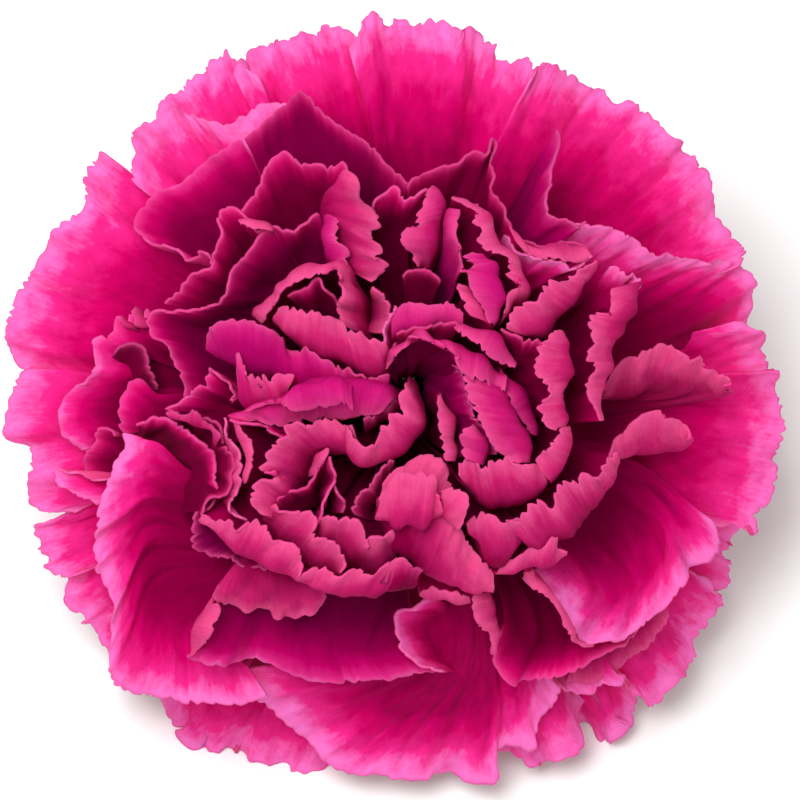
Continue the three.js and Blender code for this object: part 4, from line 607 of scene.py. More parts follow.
        [(45.2, 46, 46.6, 46.6), (-0.3, 6.6), (1, 6.8), (2.7, 7.1), (4.2, 7.7), (6, 7.8)],
    ],
    "centreRoof": [
        [(46, 46.2, 46, 45), (5.4, 7.7), (6.6, 7.6), (8, 7.1), (9.6, 6.1), (10.8, 4.8), (11.5, 3.6)],
        [(46.8, 47.2, 47, 46), (5.8, 7.2), (5.9, 6.5), (6.4, 6), (7, 5.8), (7.8, 4.9), (8.3, 4.5),
         (9.5, 3.7), (10.5, 3.3), (11.3, 3.2)],
    ],
    "centreFold": [
        [(43, 44.4, 45.6, 46.2, 46.2, 45.8), (-2.3, 2.9), (-1.4, 4.1), (-0.6, 5.2), (0.3, 6.2),
         (1.4, 6.7), (3, 6.4), (4.4, 5.9), (6.2, 5), (8, 4.2), (9.4, 3.4), (10.6, 2.5)],
        [(43.4, 45, 46.4, 47.2, 47.2, 46.6), (-1.5, 2.7), (-0.6, 3.9), (0.6, 5.4), (1.4, 6), (2.8, 5.9),
         (4.2, 5.5), (4.7, 5), (5.3, 4.4), (5.8, 3.3), (6.3, 2.5), (7.4, 1.7), (8.8, 1.6), (9, 0.7),
         (10.3, 0.6)],
    ],
    "eastTongue": [
        [(45.6, 45.6, 45.2, 44.4), (10.4, 1), (11, -0.8), (11.8, -2.2), (12.7, -3.4), (13.3, -4.8),
         (12.9, -6.2)],
        [(46, 46.6, 46.8, 45.6), (6.2, 2.6), (6.2, 1.2), (6.6, 0), (7.4, -1.6), (8.4, -3.4), (9.4, -5.2),
         (11.2, -6.1)],
    ],
    "eastRidge": [
        [(44.6, 44.6, 44, 43), (10, 3), (11.2, 1.9), (12.2, 0.8), (12.9, -0.6), (13.3, -2.4),
         (13.4, -3.6)],
        [(44.8, 45.2, 44.8, 43.8), (9.6, 1.8), (10.4, 0.2), (11, -1), (11.8, -2), (12.6, -3.2)],
    ],
    "eastLeaf": [
        [(44.6, 45, 45.4), (8.3, -6.5), (8.6, -5), (7.6, -2.6)],
        [(44.8, 45.4, 45.8), (5.9, -5.5), (5.7, -4), (6, -3), (7, -2.3)],
    ],
    "eastCurl": [
        [(44, 45, 45.4, 45.3, 44.6), (16, 6.7), (16.9, 4.6), (17, 2.9), (16.7, 1.5), (16.3, 0.3),
         (16.2, -1.1), (16.4, -2.6)],
        [(45, 46.4, 46.8, 46.8, 45.6), (15.4, 7), (14.6, 6.5), (14.5, 6), (13.5, 5.5), (13.3, 4.5),
         (13.1, 3.2), (13.4, 2.3), (14.5, 1.2), (14.6, 0.6), (14.2, 0), (13.3, -0.9), (13.6, -1.6),
         (14.2, -2.4), (14.8, -2.8)],
    ],
    "eastHook": [
        [(44, 44.4, 44, 43.6), (16.7, -2.6), (17, -4.5), (16.2, -6.4), (14.8, -8.1)],
        [(45.4, 45.8, 45.6, 44.8), (15.9, -2.6), (15.4, -3.5), (14.6, -4.2), (14.3, -5), (13.6, -5.2),
         (13.1, -6.1)],
    ],
    "eastWall": [
        [(39, 40, 41, 42, 42.6, 43), (23.9, 11.6), (23.7, 10), (23, 8.2), (22, 6.5), (21.2, 5.2),
         (20.8, 4), (20.4, 2), (20.1, 0), (19.9, -2)],
        [(41, 42.6, 43.8, 44.6, 44.6, 43.8), (20.8, 11), (20.4, 8.4), (18.6, 8.5), (18.9, 5.7), (18.2, 4),
         (19, 2.8), (18.3, 1.4), (19.3, -1), (19.7, -2.1)],
    ],
    "eastEdge": [
        [(36, 36, 36.5), (17, 8.4), (18.4, 7.4), (19, 6)],
        [(39.4, 39.4, 39.4, 39.6), (20.8, 13.3), (21.7, 13.2), (22.6, 12.6), (23.1, 12), (23.3, 12.4),
         (23.8, 11.4)],
    ],
    "eastRoof": [
        [(42, 43, 43.6, 44), (19.6, 13.8), (19.6, 13), (18.7, 11.7), (17.3, 9.9), (15.7, 8.1),
         (13.9, 6.6), (12, 6)],
        [(43, 44.6, 45.6, 46, 45.8), (18.9, 13.5), (17, 12.6), (16, 11.8), (15, 12), (14.3, 11.8),
         (13.7, 10.5), (13.5, 9.9), (12, 9.5), (11, 9), (10.2, 7.2)],
    ],
    "northEastEdge": [
        [(38.5, 39, 39.5, 40), (8.5, 12.5), (10, 12), (12, 11), (13.5, 10.5)],
        [(42, 43, 43.2, 42.4), (10, 16.5), (11, 15.5), (12.5, 14.3), (14, 13.9), (16, 13.6), (17.8, 13.3),
         (19.4, 14)],
    ],
    "northEastRoof": [
        [(42.5, 42.5, 42.5, 42), (10.8, 17.4), (12.2, 15.9), (14, 15), (16, 15.3), (18.3, 15.2)],
        [(43, 43.2, 43.2, 42.4), (11.2, 15.8), (12.9, 14), (15, 13.7), (18.1, 13.5), (19, 14.2)],
    ],
    "eastInner": [
        [(42, 42, 42, 41), (10.8, 4.6), (12, 3), (13, 1), (13.6, -1.6)],
        [(45.4, 45.6, 45, 44, 43.4), (9.8, 6.9), (11.6, 6.5), (12.8, 6.1), (14.7, 5.9), (15.8, 3.4),
         (15.8, 0), (15.4, -2.8)],
    ],
    # the lower side
    "southEastFringe": [
        [(43, 42.6, 42.6, 42.8, 43.2), (6.4, -8.5), (7.5, -10), (9.2, -10.7), (11, -10.6), (13, -9.6),
         (14.8, -8)],
        [(44.4, 45.2, 45.6, 45.4, 44.6), (5.5, -6.8), (6, -5.7), (7, -5.6), (8, -6.8), (9, -5.5),
         (9.8, -5.7), (10.4, -5.3), (11.2, -6.2), (13, -6.1), (14.2, -6.6)],
    ],
    "southEastBand": [
        [(38.5, 39, 40, 41, 41.6), (21.5, -6.3), (21.4, -7.4), (20.9, -8.6), (19.4, -10.5), (17.6, -12.5),
         (16, -13.9), (14.6, -14.6), (12.8, -14.8)],
        [(40, 42, 43.6, 44.2, 44.4, 43.8), (21.4, -4.8), (19.9, -6.5), (19.7, -8.1), (18.1, -7.1),
         (17.5, -7.9), (15.8, -7.9), (15.1, -8.9), (15, -10.6), (13, -9.7), (12.2, -10.7), (10.9, -11.9),
         (10.1, -11.8)],
    ],
    "southDome": [
        [(41.5, 41.5, 41, 40, 39.5), (-2.1, -10), (-1.6, -12.6), (-0.4, -15), (2, -16.8), (4, -17.9),
         (7, -19), (9.2, -19.3)],
        [(42.6, 43.6, 44, 43.8, 43, 41.6, 40.5), (-1.3, -7.6), (0, -6.5), (1, -5.9), (2, -5.4), (3, -5.3),
         (4, -5.6), (4.8, -6.6), (5.4, -9), (5.8, -12), (6.6, -13.6), (7.5, -15), (9.2, -16.7),
         (9.4, -17.9)],
    ],
    "domeFold": [
        [(46, 45.6, 45, 44.6), (4, -9.5), (3.9, -10.6), (4.6, -11.8), (5.6, -12.6)],
        [(46.6, 47.2, 46.6, 45.4), (4.2, -9), (5.2, -8.5), (6, -8.8), (6.9, -9.6), (6.7, -10.8),
         (6.3, -12), (6, -12.7)],
    ],
    "southEastScale": [
        [(41.6, 41, 41, 42), (7, -13.6), (8.4, -15.6), (9.8, -16.4), (10.8, -15.8), (11.8, -14.2),
         (12.3, -13)],
        [(43.6, 44.6, 44.6, 44), (6.6, -12), (8, -10.9), (9.2, -11.2), (10.1, -11.9), (10.9, -11.9),
         (12.1, -12.3)],
    ],
    "southEastLeaf": [
        [(40, 40.4, 40.4, 40.2), (9.4, -17.5), (11.6, -17), (14, -16.4), (15.6, -15.9), (16.5, -15.3)],
        [(41.4, 42, 41.8, 41), (10.2, -16.2), (10.8, -15.8), (12.8, -14.6), (14.2, -13.8), (15.4, -13.2),
         (15.6, -14.6), (16.4, -15)],
    ],
    "southLip": [
        [(37, 34.5, 32), (8.9, -19), (9.7, -22.3), (9.5, -25)],
        [(38, 36.5, 34, 32.2), (7, -19.5), (7.2, -21.3), (8.2, -23), (9, -24), (9.3, -24.9)],
    ],
    "southBrow": [
        [(37, 37.5, 37.5, 37), (1.9, -19.3), (3.6, -19.9), (5.4, -19.9), (7, -20.2)],
        [(38, 39, 39, 38.4), (2, -18.9), (3, -18.3), (4.4, -18.8), (5.4, -18.6), (6.8, -19.4)],
    ],
    # in the gap at the middle
    "deepLeaf": [
        [(42.6, 43.4, 43.4), (4.3, 0.6), (4.8, -1.5), (5.4, -3.4), (5.7, -6)],
        [(43, 43.8, 44), (3.6, 0.6), (3.6, -1.5), (3.8, -3.4), (4.3, -6)],
    ],
    "deepFold": [
        [(40, 40, 40, 40), (0.8, 3.4), (2, 3.7), (3.4, 3.3), (4.4, 2.2)],
        [(43.4, 44.4, 44.4, 43.6), (0.2, 6), (1.5, 6.7), (3.2, 6.4), (4.8, 5.6), (6, 4.4), (6.8, 3)],
    ],
    "deepWest": [
        [(40, 40, 40), (-0.6, 2), (0.2, 3), (1, 3.8)],
        [(42, 43, 43.8), (-2.2, 3.2), (-1.4, 4.3), (-0.4, 5.5), (0.6, 6.4)],
    ],
    "deepBlade": [
        [(39, 40, 41, 42), (3.8, 2.8), (3.9, 1), (4.6, -0.5), (5.6, -2), (5.8, -3.6), (5.8, -5.6)],
        [(42, 43.6, 44.4, 44), (5.2, 3.5), (6.3, 2.2), (7, 0), (7.9, -1.8), (9, -3.8), (9.6, -5.4)],
    ],
    "hoodTail": [
        [(43, 43, 43), (-3.4, -3), (-1.8, -2.6), (-0.4, -1.6), (0.1, -0.6)],
        [(44.4, 44.8, 44.4), (-3.6, -1.7), (-2.2, -1.2), (-1, -0.6), (-0.6, 0.4)],
    ],
    # small layers over others
    "starFlap": [
        [(42.4, 42.6, 42.4), (-16, 17.9), (-15, 18), (-14.2, 17.6), (-13.4, 17.1), (-12.6, 16.6)],
        [(43, 43.2, 42.8), (-15.5, 17.4), (-14.9, 16.9), (-14.4, 16.8), (-13.4, 16.6), (-12.7, 16.4)],
    ],
    "frillFlap": [
        [(39.6, 40.4, 41, 41.4), (-22.8, -1.7), (-21.6, -2.2), (-20.2, -2.5), (-18.8, -3.3),
         (-17.9, -4.4)],
        [(39.6, 40.6, 41.2, 41.6), (-23.3, -1.2), (-22.5, -1), (-21.6, -1.4), (-20.9, -0.9),
         (-20.2, -0.9), (-19.5, -1.6), (-18.7, -2.2), (-17.5, -3.6)],
    ],
    "curlFold": [
        [(44.2, 44.6, 45, 44.6), (-7.6, 18.6), (-7.7, 16.5), (-7.4, 14.6), (-6.8, 13.2)],
        [(45.2, 45.8, 46.2, 45.6), (-6.3, 19.4), (-5.9, 18), (-6.1, 16.4), (-5.9, 15.4), (-5.1, 14.9),
         (-4.9, 13.8), (-5.2, 12.9)],
    ],
    "domeLobe": [
        [(43.6, 45, 45.4, 45.2), (-2.2, -11.4), (-1, -12.5), (1, -12.6), (3, -12.2), (4.2, -11)],
        [(44.8, 45.8, 46.2, 46), (-1.9, -9.6), (-1.3, -8.2), (-0.5, -7.1), (0.4, -6.8), (1.3, -7.2),
         (2, -6.9), (2.6, -7.3), (3.1, -7), (3.6, -7.5), (3.7, -8.6), (3.8, -9.6)],
    ],
}

# heart petals that stand upright, with their inside to the viewer
STANDING = {
    "westInner", "westStrip", "westEdge", "westFrill", "westHoop", "innerHoop", "hoodEdge", "lowRidge",
    "innerBlade", "innerLeaf", "lowerCorner", "northEdge", "northInner", "northPocket", "centreFacet",
    "eastEdge", "northEastEdge", "eastInner", "deepFold", "deepWest", "deepBlade",
}
# middle petals that show their outside
TURNED_OVER = {
    "southCorner", "southFringe", "eastFoldHigh", "eastFoldLow", "southEastLayer", "bowlFlap",
}

# ----------------------------------------------------------------------------------------- the looks
# linear colours
DARK = (0.21, 0, 0.04)
DEEP = (0.35, 0, 0.068)
MAGENTA = (0.66, 0.001, 0.145)
HOT_PINK = (0.89, 0.025, 0.29)
PALE_PINK = (0.99, 0.21, 0.66)
DUSTY_DEEP = (0.33, 0.001, 0.065)
DUSTY = (0.62, 0.016, 0.16)
DUSTY_PALE = (0.82, 0.085, 0.28)
PURPLE = (0.26, 0, 0.1)
VIVID = (0.68, 0.004, 0.23)
# a paler margin with a painted highlight along the petal's edge
PALE_RIM_AND_HIGHLIGHT = (0.88, 0.13, 0.4)
SHEEN = (1, 0.04, 0.3)
# the two faces of a petal, from the rim inwards; the darker stops deep down are partly the petal's
# own colour and partly painted shade
INSIDE = [(0, PALE_PINK), (0.18, HOT_PINK), (0.4, MAGENTA), (0.7, DEEP), (1, DARK)]
OUTSIDE = [(0, DUSTY_PALE), (0.26, DUSTY), (0.6, DUSTY_DEEP), (1, DARK)]
CALYX_SHADES = [(0.25, (0.06, 0.13, 0.025)), (0.5, (0.12, 0.23, 0.055)), (0.75, (0.2, 0.33, 0.11))]
STEM_SHADES = [(0.3, (0.09, 0.19, 0.04)), (0.5, (0.17, 0.3, 0.08)), (0.7, (0.26, 0.4, 0.14))]
# the pistil's greens are kept dark as painted shade, for how deep it sits among the petals
PISTIL_GREENS_IN_SHADE = [(0.3, (0.05, 0.09, 0.01)), (0.6, (0.1, 0.17, 0.02)), (0.8, (0.17, 0.24, 0.04))]
# from the middle of the cut end to its skin
CUT_STOPS = [(0, (0.5, 0.55, 0.3)), (0.45, (0.42, 0.5, 0.22)), (0.6, (0.2, 0.32, 0.09)),
             (0.75, (0.34, 0.44, 0.16)), (0.95, (0.12, 0.22, 0.05))]
MARGIN_TAN = (0.42, 0.36, 0.16)
WAX = (0.3, 0.4, 0.24)

# noise on a petal: how many spots to the centimetre, across it and up it
FIBRES = (30, 4, 1)
HAIRS = (46, 2, 1)
PATCHES = (4.5, 3, 1)
CLOUDS = (2.6, 2, 1)
GRAINS = (38, 30, 1)
FIBRE_SWING = 0.18               # how far fibres and patches move the colour towards the rim or away
PATCH_SWING = 0.42
# how light a petal's colour is at least, and what fine noise, clouds and hairs add to that
LIGHT_LEAST = 0.62
FINE_LIGHT = 0.24
CLOUD_LIGHT = 0.32
HAIRY_LEAST = 0.92
HAIR_LIGHT = 0.1
HAIR_START = 0.38                # a hair is where its noise is above this
HAIR_CONTRAST = 4
DEEP_START = 0.2                 # how much of its depth in colour a deep petal has at its rim already
PURPLE_SHARE = 0.75              # how much of these colours a petal takes when it is marked with 1
VIVID_SHARE = 0.8
RIM_HIGHLIGHT_SHARE = 0.42                 # how much of the rim's colour shows at the very edge
EDGE_REACH = 0.34                # how far it reaches, in millimetres
GLOW_SHARE = 0.32                # of the light that falls on a petal, what passes through
# painted shade under the brow of a curled petal:
SHADE_UNDER_BROW = 2                   # the inside of a curled petal is as dark as this much further down
PATTERN_STEP = 7.3               # centimetres from the pattern of a petal to that of the next
# noise on the green pieces: how many spots to the centimetre, round the axis and along it
LEAF_VEINS = (26, 26, 1.4)
LEAF_MOTTLE = (5, 5, 3)
LEAF_SPECKS = (70, 70, 60)
STEM_VEINS = (30, 30, 2)
STEM_SPECKS = (80, 80, 80)
CUT_DEPTH = 0.03                 # the cut end's colours reach this far up the stem
CUT_RAMP = 0.25                  # they run from the middle to this radius, in centimetres
CUT_UNEVEN = 0.06                # and their edges wander by about this much

# petals that differ from the rest: more purple inside, more vivid outside, deeper or paler; deeper
# is partly their own colour and partly painted shade where a petal stands steep or deep in a hollow,
# and paler is painted light where a petal bulges up
PURPLES = {
    "southLeft": 0.4, "westCup": 0.3, "northWestCup": 0.2, "northFold": 0.3, "purpleFold": 0.55,
    "southEastBowl": 0.1, "lowerCorner": 0.7, "deepFold": 0.4, "deepWest": 0.6, "deepBlade": 0.6,
}
VIVIDS = {
    "westTongue": 0.6, "westFringe": 0.3, "hood": 0.6, "hoodLayer": 0.75, "northLobe": 0.3,
    "northBlade": 0.6, "northEastInner": 0.7, "centreBand": 0.7, "centreRoof": 0.5, "centreFold": 0.5,
    "eastTongue": 0.35, "eastRidge": 0.4, "eastLeaf": 0.5, "curlFold": 0.5,
}
DEPTH_LIGHT_AND_SHADE = {
    "south": -0.3, "southLeft": 0.6, "southFringe": 0.2, "southWestBowl": -0.15, "westWing": 0.35,
    "westCrumple": 0.6, "westLine": 3, "westRound": 1, "westCup": 1.1, "starLeft": 1.2, "starTop": 1.3,
    "northWestCup": 0.8, "northFold": 1.8, "northErect": 2, "purpleFold": 0.7, "eastFan": -0.15,
    "southEastBowl": -0.15, "southEastCup": 1, "southEastLayer": 0.3, "southMargin": 0.1,
    "westPocket": 1.5, "westInner": 1.5, "westTongue": 0.7, "westEdge": 0.8, "westFrill": 2,
    "westHoop": 1, "hoodEdge": 1, "lowRidge": 1.5, "innerBlade": 0.8, "innerLeaf": 0.8, "lowBlade": 0.8,
    "lowerCorner": 2, "southFold": 1.2, "northEdge": 0.8, "northInner": 2, "northPocket": 1.8,
    "centreFacet": 2, "eastRidge": 1, "eastInner": 1.5, "southDome": -0.3, "domeFold": -0.2,
    "deepFold": 1.8, "deepWest": 1.8, "deepBlade": 0.8, "hoodTail": 2.5, "frillFlap": 1,
    "curlFold": 0.5, "domeLobe": -0.25,
}

VIEW_DISTANCE = 1600
VIEW_WIDTH = 80                  # seen across the picture, at VIEW_HEIGHT up the bloom's axis
VIEW_HEIGHT = 20
SENSOR = 36
WORLD_LIGHT = 0.66
LAMP_PLACE = (-250, 300, 1100)   # in the bloom's frame
LAMP_SIZE = 0.6                  # metres
LAMP_POWER = 12.5
TABLE_SIZE = 6                   # metres
TABLE_GREY = (0.9, 0.9, 0.9)


# ------------------------------------------------------------------------------------------ placing
TURN = Matrix.Rotation(SWAY, 4, "Y") @ Matrix.Rotation(LEAN, 4, "X")


def resting_place():
    """Where the foot of the calyx is in the frame, in millimetres. The front edge of the cut stub is
    the lowest point of the stem, and its back edge is the one furthest back."""
    low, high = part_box("stem")
    front = TURN @ Vector((0, -STUB_RADIUS, STUB_FOOT))
    back = TURN @ Vector((0, STUB_RADIUS, STUB_FOOT))
    return Vector(((low.x + high.x) / 2 / MM, high.y / MM - back.y, low.z / MM - front.z))


LAY = Matrix.Translation(resting_place()) @ TURN


def laid(points):
    """Points of the bloom, in millimetres, brought to the frame, in metres."""
    lay = np.array(LAY)
    return (points @ lay[:3, :3].T + lay[:3, 3]) * MM


# ------------------------------------------------------------------------------------------- curves
def spline(points, steps):
    """The smooth curve through points (k rows), at steps from 0 to k - 1. Each row may hold many
    points, and steps may have one column for each of them."""
    points = np.asarray(points, float)
    steps = np.asarray(steps, float)
    count = len(points)
    ends = np.concatenate([[2 * points[0] - points[1]], points, [2 * points[-1] - points[-2]]])
    start = np.clip(np.floor(steps), 0, count - 2).astype(int)
    share = (steps - start)[..., None]
    if points.ndim == 3:
        column = np.arange(points.shape[1])
        start = start if start.ndim == 2 else np.repeat(start[:, None], points.shape[1], 1)
        share = share if share.ndim == 3 else share[:, None]
        before, here, after, beyond = (ends[start + i, column] for i in range(4))
    else:
        before, here, after, beyond = (ends[start + i] for i in range(4))
    gap = [np.maximum(np.linalg.norm(b - a, axis=-1, keepdims=True), 1e-6) ** 0.5
           for a, b in ((before, here), (here, after), (after, beyond))]
    leave = ((here - before) / gap[0] - (after - before) / (gap[0] + gap[1])
             + (after - here) / gap[1]) * gap[1]
    arrive = ((after - here) / gap[1] - (beyond - here) / (gap[1] + gap[2])
              + (beyond - after) / gap[2]) * gap[1]
    s2, s3 = share ** 2, share ** 3
    return (here * (2 * s3 - 3 * s2 + 1) + after * (3 * s2 - 2 * s3)
            + leave * (s3 - 2 * s2 + share) + arrive * (s3 - s2))


def travelled(points):
    """The length walked along points, up to each."""
    return np.concatenate([[0], np.cumsum(np.linalg.norm(np.diff(points, axis=0), axis=1))])


def along(points, shares):
    """Points at shares of the length of the curve through points."""
    fine = np.linspace(0, len(points) - 1, CURVE_STEPS * len(points))
    length = travelled(spline(points, fine))
    return spline(points, np.interp(shares * length[-1], length, fine))


def smooth(x):
    """A soft step from 0 to 1."""
    x = np.clip(x, 0, 1)
    return x * x * (3 - 2 * x)


# ------------------------------------------------------------------------------------------- pieces
def grid_piece(name, grid):
    """A sheet whose vertices are the points of a grid, as they are."""
    bpy.ops.object.select_all(action="DESELECT")
    bpy.ops.mesh.primitive_grid_add(x_subdivisions=grid.shape[1] - 1, y_subdivisions=grid.shape[0] - 1,
                                    size=1)
    piece = bpy.context.object
    piece.name = piece.data.name = name
    piece.data.vertices.foreach_set("co", grid.ravel())
    return piece


def drawn_out(name, rings, sides, open_end=False):
    """A round piece drawn out ring by ring. A ring is its middle and its radius, in millimetres."""
    bpy.ops.object.select_all(action="DESELECT")
    (*middle, radius), *rest = rings
    bpy.ops.mesh.primitive_circle_add(vertices=sides, radius=radius, fill_type="NGON", location=middle)
    piece = bpy.context.object
    piece.name = piece.data.name = name
    bpy.ops.object.transform_apply(location=True)
    bpy.ops.object.mode_set(mode="EDIT")
    bpy.ops.mesh.select_all(action="SELECT")
    for *place, wider in rest:
        step = [to - at for to, at in zip(place, middle)]
        bpy.ops.mesh.extrude_region_move(TRANSFORM_OT_translate={"value": step})
        bpy.ops.transform.resize(value=(wider / radius, wider / radius, 1), center_override=place)
        middle, radius = place, wider
    if open_end:
        bpy.ops.mesh.delete(type="ONLY_FACE")
    bpy.ops.mesh.select_all(action="SELECT")
    bpy.ops.mesh.normals_make_consistent(inside=False)
    bpy.ops.object.mode_set(mode="OBJECT")
    return piece


def turned(name, outline, sides, rings, open_end=False):
    """A round piece about the bloom's axis, smooth through radius and height pairs."""
    smooth_outline = along(outline, np.linspace(0, 1, rings))
    return drawn_out(name, [(0, 0, height, radius) for radius, height in smooth_outline], sides,
                     open_end)


def points_of(piece):
    """The places of a piece's vertices."""
    place = np.empty(3 * len(piece.data.vertices))
    piece.data.vertices.foreach_get("co", place)
    return place.reshape(-1, 3)


def thicken(piece, thickness):
    """Gives a sheet its thickness, behind its face."""
    wall = piece.modifiers.new("thickness", "SOLIDIFY")
    wall.thickness = thickness
    wall.offset = -1
    bpy.ops.object.modifier_apply(modifier=wall.name)


def mark(piece, name, values):
    """Gives each vertex of a piece four numbers for its material to read."""
    marks = piece.data.color_attributes.new(name, "FLOAT_COLOR", "POINT")
    marks.data.foreach_set("color", np.ravel(values))


def belong(piece, look, node):
    """Gives a piece its material, and the node and the body that it goes with."""
    piece.data.materials.append(look)
    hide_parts(node)
    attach(piece, "root")


# ------------------------------------------------------------------------------------------- petals
def foot_row(foot, leads_to):
    """The two ends of the row where a claw passes a given radius and height, facing a row."""
    radius, height, width = foot
    middle = leads_to.mean(0)
    out = np.array([middle[0], middle[1], 0]) / math.hypot(middle[0], middle[1])
    side = np.array([-out[1], out[0], 0])
    half = 0.5 * width * (-1 if (leads_to[-1] - leads_to[0]) @ side < 0 else 1)
    return np.array([out * radius - side * half, out * radius + side * half]) + [0, 0, height]


def row_points(row):
    """A row's points in space, from its heights and its points in plan."""
    heights, plan = row[0], np.array(row[1:], float)
    walked = travelled(plan) / travelled(plan)[-1]
    return np.column_stack([plan, np.interp(walked, np.linspace(0, 1, len(heights)), heights)])


def guard_rows(petal):
    """All rows of a guard, from its claw to its rim."""
    bend_height, rim = petal
    rim = row_points(rim)
    bend = rim * [GUARD_BEND, GUARD_BEND, 0] + [0, 0, bend_height]
    return [foot_row(foot, bend) for foot in GUARD_CLAW] + [bend, rim]


def middle_rows(petal):
    rows = [row_points(row) for row in petal]
    return [foot_row(foot, rows[0]) for foot in MIDDLE_CLAW] + rows


def heart_rows(petal):
    brow, rim = (row_points(row) for row in petal)
    middle = brow.mean(0)
    waist = (brow - middle) * WAIST_WIDTH + middle * WAIST_OUTWARD
    waist[:, 2] = WAIST_HEIGHT
    return [foot_row(foot, waist) for foot in HEART_CLAW] + [waist, brow, rim]


def cut_rim(length, sheet, chance):
    """Columns of a petal whose rim is that long, as shares of it, and how deep each is cut."""
    edges = [0.0]
    while edges[-1] < length:
        edges.append(edges[-1] + chance.uniform(*sheet.pitch))
    edges = np.array(edges) * length / edges[-1]
    shares, cuts = [], []
    shallow, deep = sheet.depth
    for start, end in zip(edges, edges[1:]):
        depth = shallow + (deep - shallow) * chance.random() ** TEETH_BIAS
        tip = chance.uniform(0.25, 0.75)
        level = chance.uniform(0, shallow)
        for step in np.arange(TEETH_COLUMNS) / TEETH_COLUMNS:
            rise = step / tip if step < tip else (1 - step) / (1 - tip)
            shares.append((start + (end - start) * step) / length)
            cuts.append(depth * (1 - rise) + level)
    return np.array(shares + [1.0]), np.array(cuts + [cuts[0]])


def belt_row(below, rim, walked, curled):
    """The row a little under a rim, where its teeth and notches have evened out."""
    evened = min(RIM_CALM, walked[-1] / 8)
    near = np.exp(-0.5 * ((walked[:, None] - walked[None, :]) / evened) ** 2)
    calm = near @ rim / near.sum(1, keepdims=True)
    calm += (rim[0] - calm[0]) * (1 - smooth(walked / (2 * evened)))[:, None]
    calm += (rim[-1] - calm[-1]) * (1 - smooth((walked[-1] - walked) / (2 * evened)))[:, None]
    reach = np.linalg.norm(below - calm, axis=1)
    share = np.minimum(RIM_BELT / reach, BELT_SHARE)[:, None]
    crown = FOLD_CROWN * reach if curled else 0 * reach
    return calm * (1 - share) + below * share + crown[:, None] * [0, 0, 1]


def normals_of(grid):
    """The way each point of a sheet faces."""
    normal = np.cross(np.gradient(grid, axis=1), np.gradient(grid, axis=0))
    return normal / np.maximum(np.linalg.norm(normal, axis=-1, keepdims=True), 1e-9)


def faces_away(top, curled):
    """Whether the top of a sheet has its normals down. On one that isn't curled, inward counts too."""
    towards = np.array([0, 0, 1.0])
    if not curled:
        out = top.mean((0, 1)) * [1, 1, 0]
        towards = towards - INWARD * out / np.linalg.norm(out)
    return (normals_of(top) @ towards).mean() < 0


def rim_wave(across, length, chance):
    """The ruffle of a rim: a slow wave with quicker ones on it."""
    return sum(chance.uniform(0.5, 1) / pace ** 0.6
               * np.sin(2 * math.pi * (across * pace / length + chance.random()))
               for pace in RUFFLE_PACES)


def slanted_waves(across, up, pitch, slant, sizes, chance):
    """Waves that cross a petal at many slants. Each is divided by its size."""
    return sum(np.sin(across * chance.uniform(*pitch) + up * chance.uniform(-slant, slant)
                      + chance.uniform(0, FULL_TURN)) / size for size in sizes)


def petal_grid(rows, sheet, curled, chance):
    """The sheet of a petal: its points, their length up the petal and across it, and the distance of
    each from the rim, all in millimetres."""
    rim_length = travelled(along(rows[-1], np.linspace(0, 1, 100)))[-1]
    shares, cuts = cut_rim(rim_length, sheet, chance)
    lines = [along(row, shares) for row in rows]
    lines.insert(-1, belt_row(lines[-2], lines[-1], shares * rim_length, curled))
    lines = np.array(lines)
    last = len(lines) - 1
    fine = np.linspace(0, last, CURVE_STEPS_UP * last)
    length = travelled(spline(lines[:, len(shares) // 2], fine))
    up = length[-1] * (1 - (1 - np.linspace(0, 1, sheet.cells + 1)) ** CELL_TAPER)
    steps = np.interp(up, length, fine)

    # each column ends short of the rim by its cut
    cut = np.minimum(cuts / np.linalg.norm(lines[-1] - lines[-2], axis=1), CUT_MOST)
    near = smooth(steps - (last - 1))
    grid = spline(lines, steps[:, None] - near[:, None] * cut[None, :])
    if faces_away(grid[steps > last - 2], curled):
        grid, shares = grid[:, ::-1], 1 - shares[::-1]

    # ruffle, grain and crumpling grow from the claw to the rim, and where the petal is wide
    across = shares * rim_length
    risen = up / up[-1]
    width = np.minimum(np.linalg.norm(np.diff(grid, axis=1), axis=-1).sum(1) / rim_length, 1)
    ruffle = rim_wave(across, sheet.ruffle_length, chance)
    lift = sheet.ruffle * risen[:, None] ** RUFFLE_RISE * ruffle[None, :]
    grain = slanted_waves(across[None, :], up[:, None], *GRAIN_WAVES, chance)
    lift += GRAIN_HEIGHT * grain * (risen * width ** 2)[:, None]
    crumple = slanted_waves(across[None, :], up[:, None], *CRUMPLE_WAVES, chance)
    lift += sheet.crumple * crumple * (risen * width)[:, None]
    grid = grid + normals_of(grid) * lift[..., None]
    return grid, up, across, np.linalg.norm(grid - grid[-1], axis=-1)


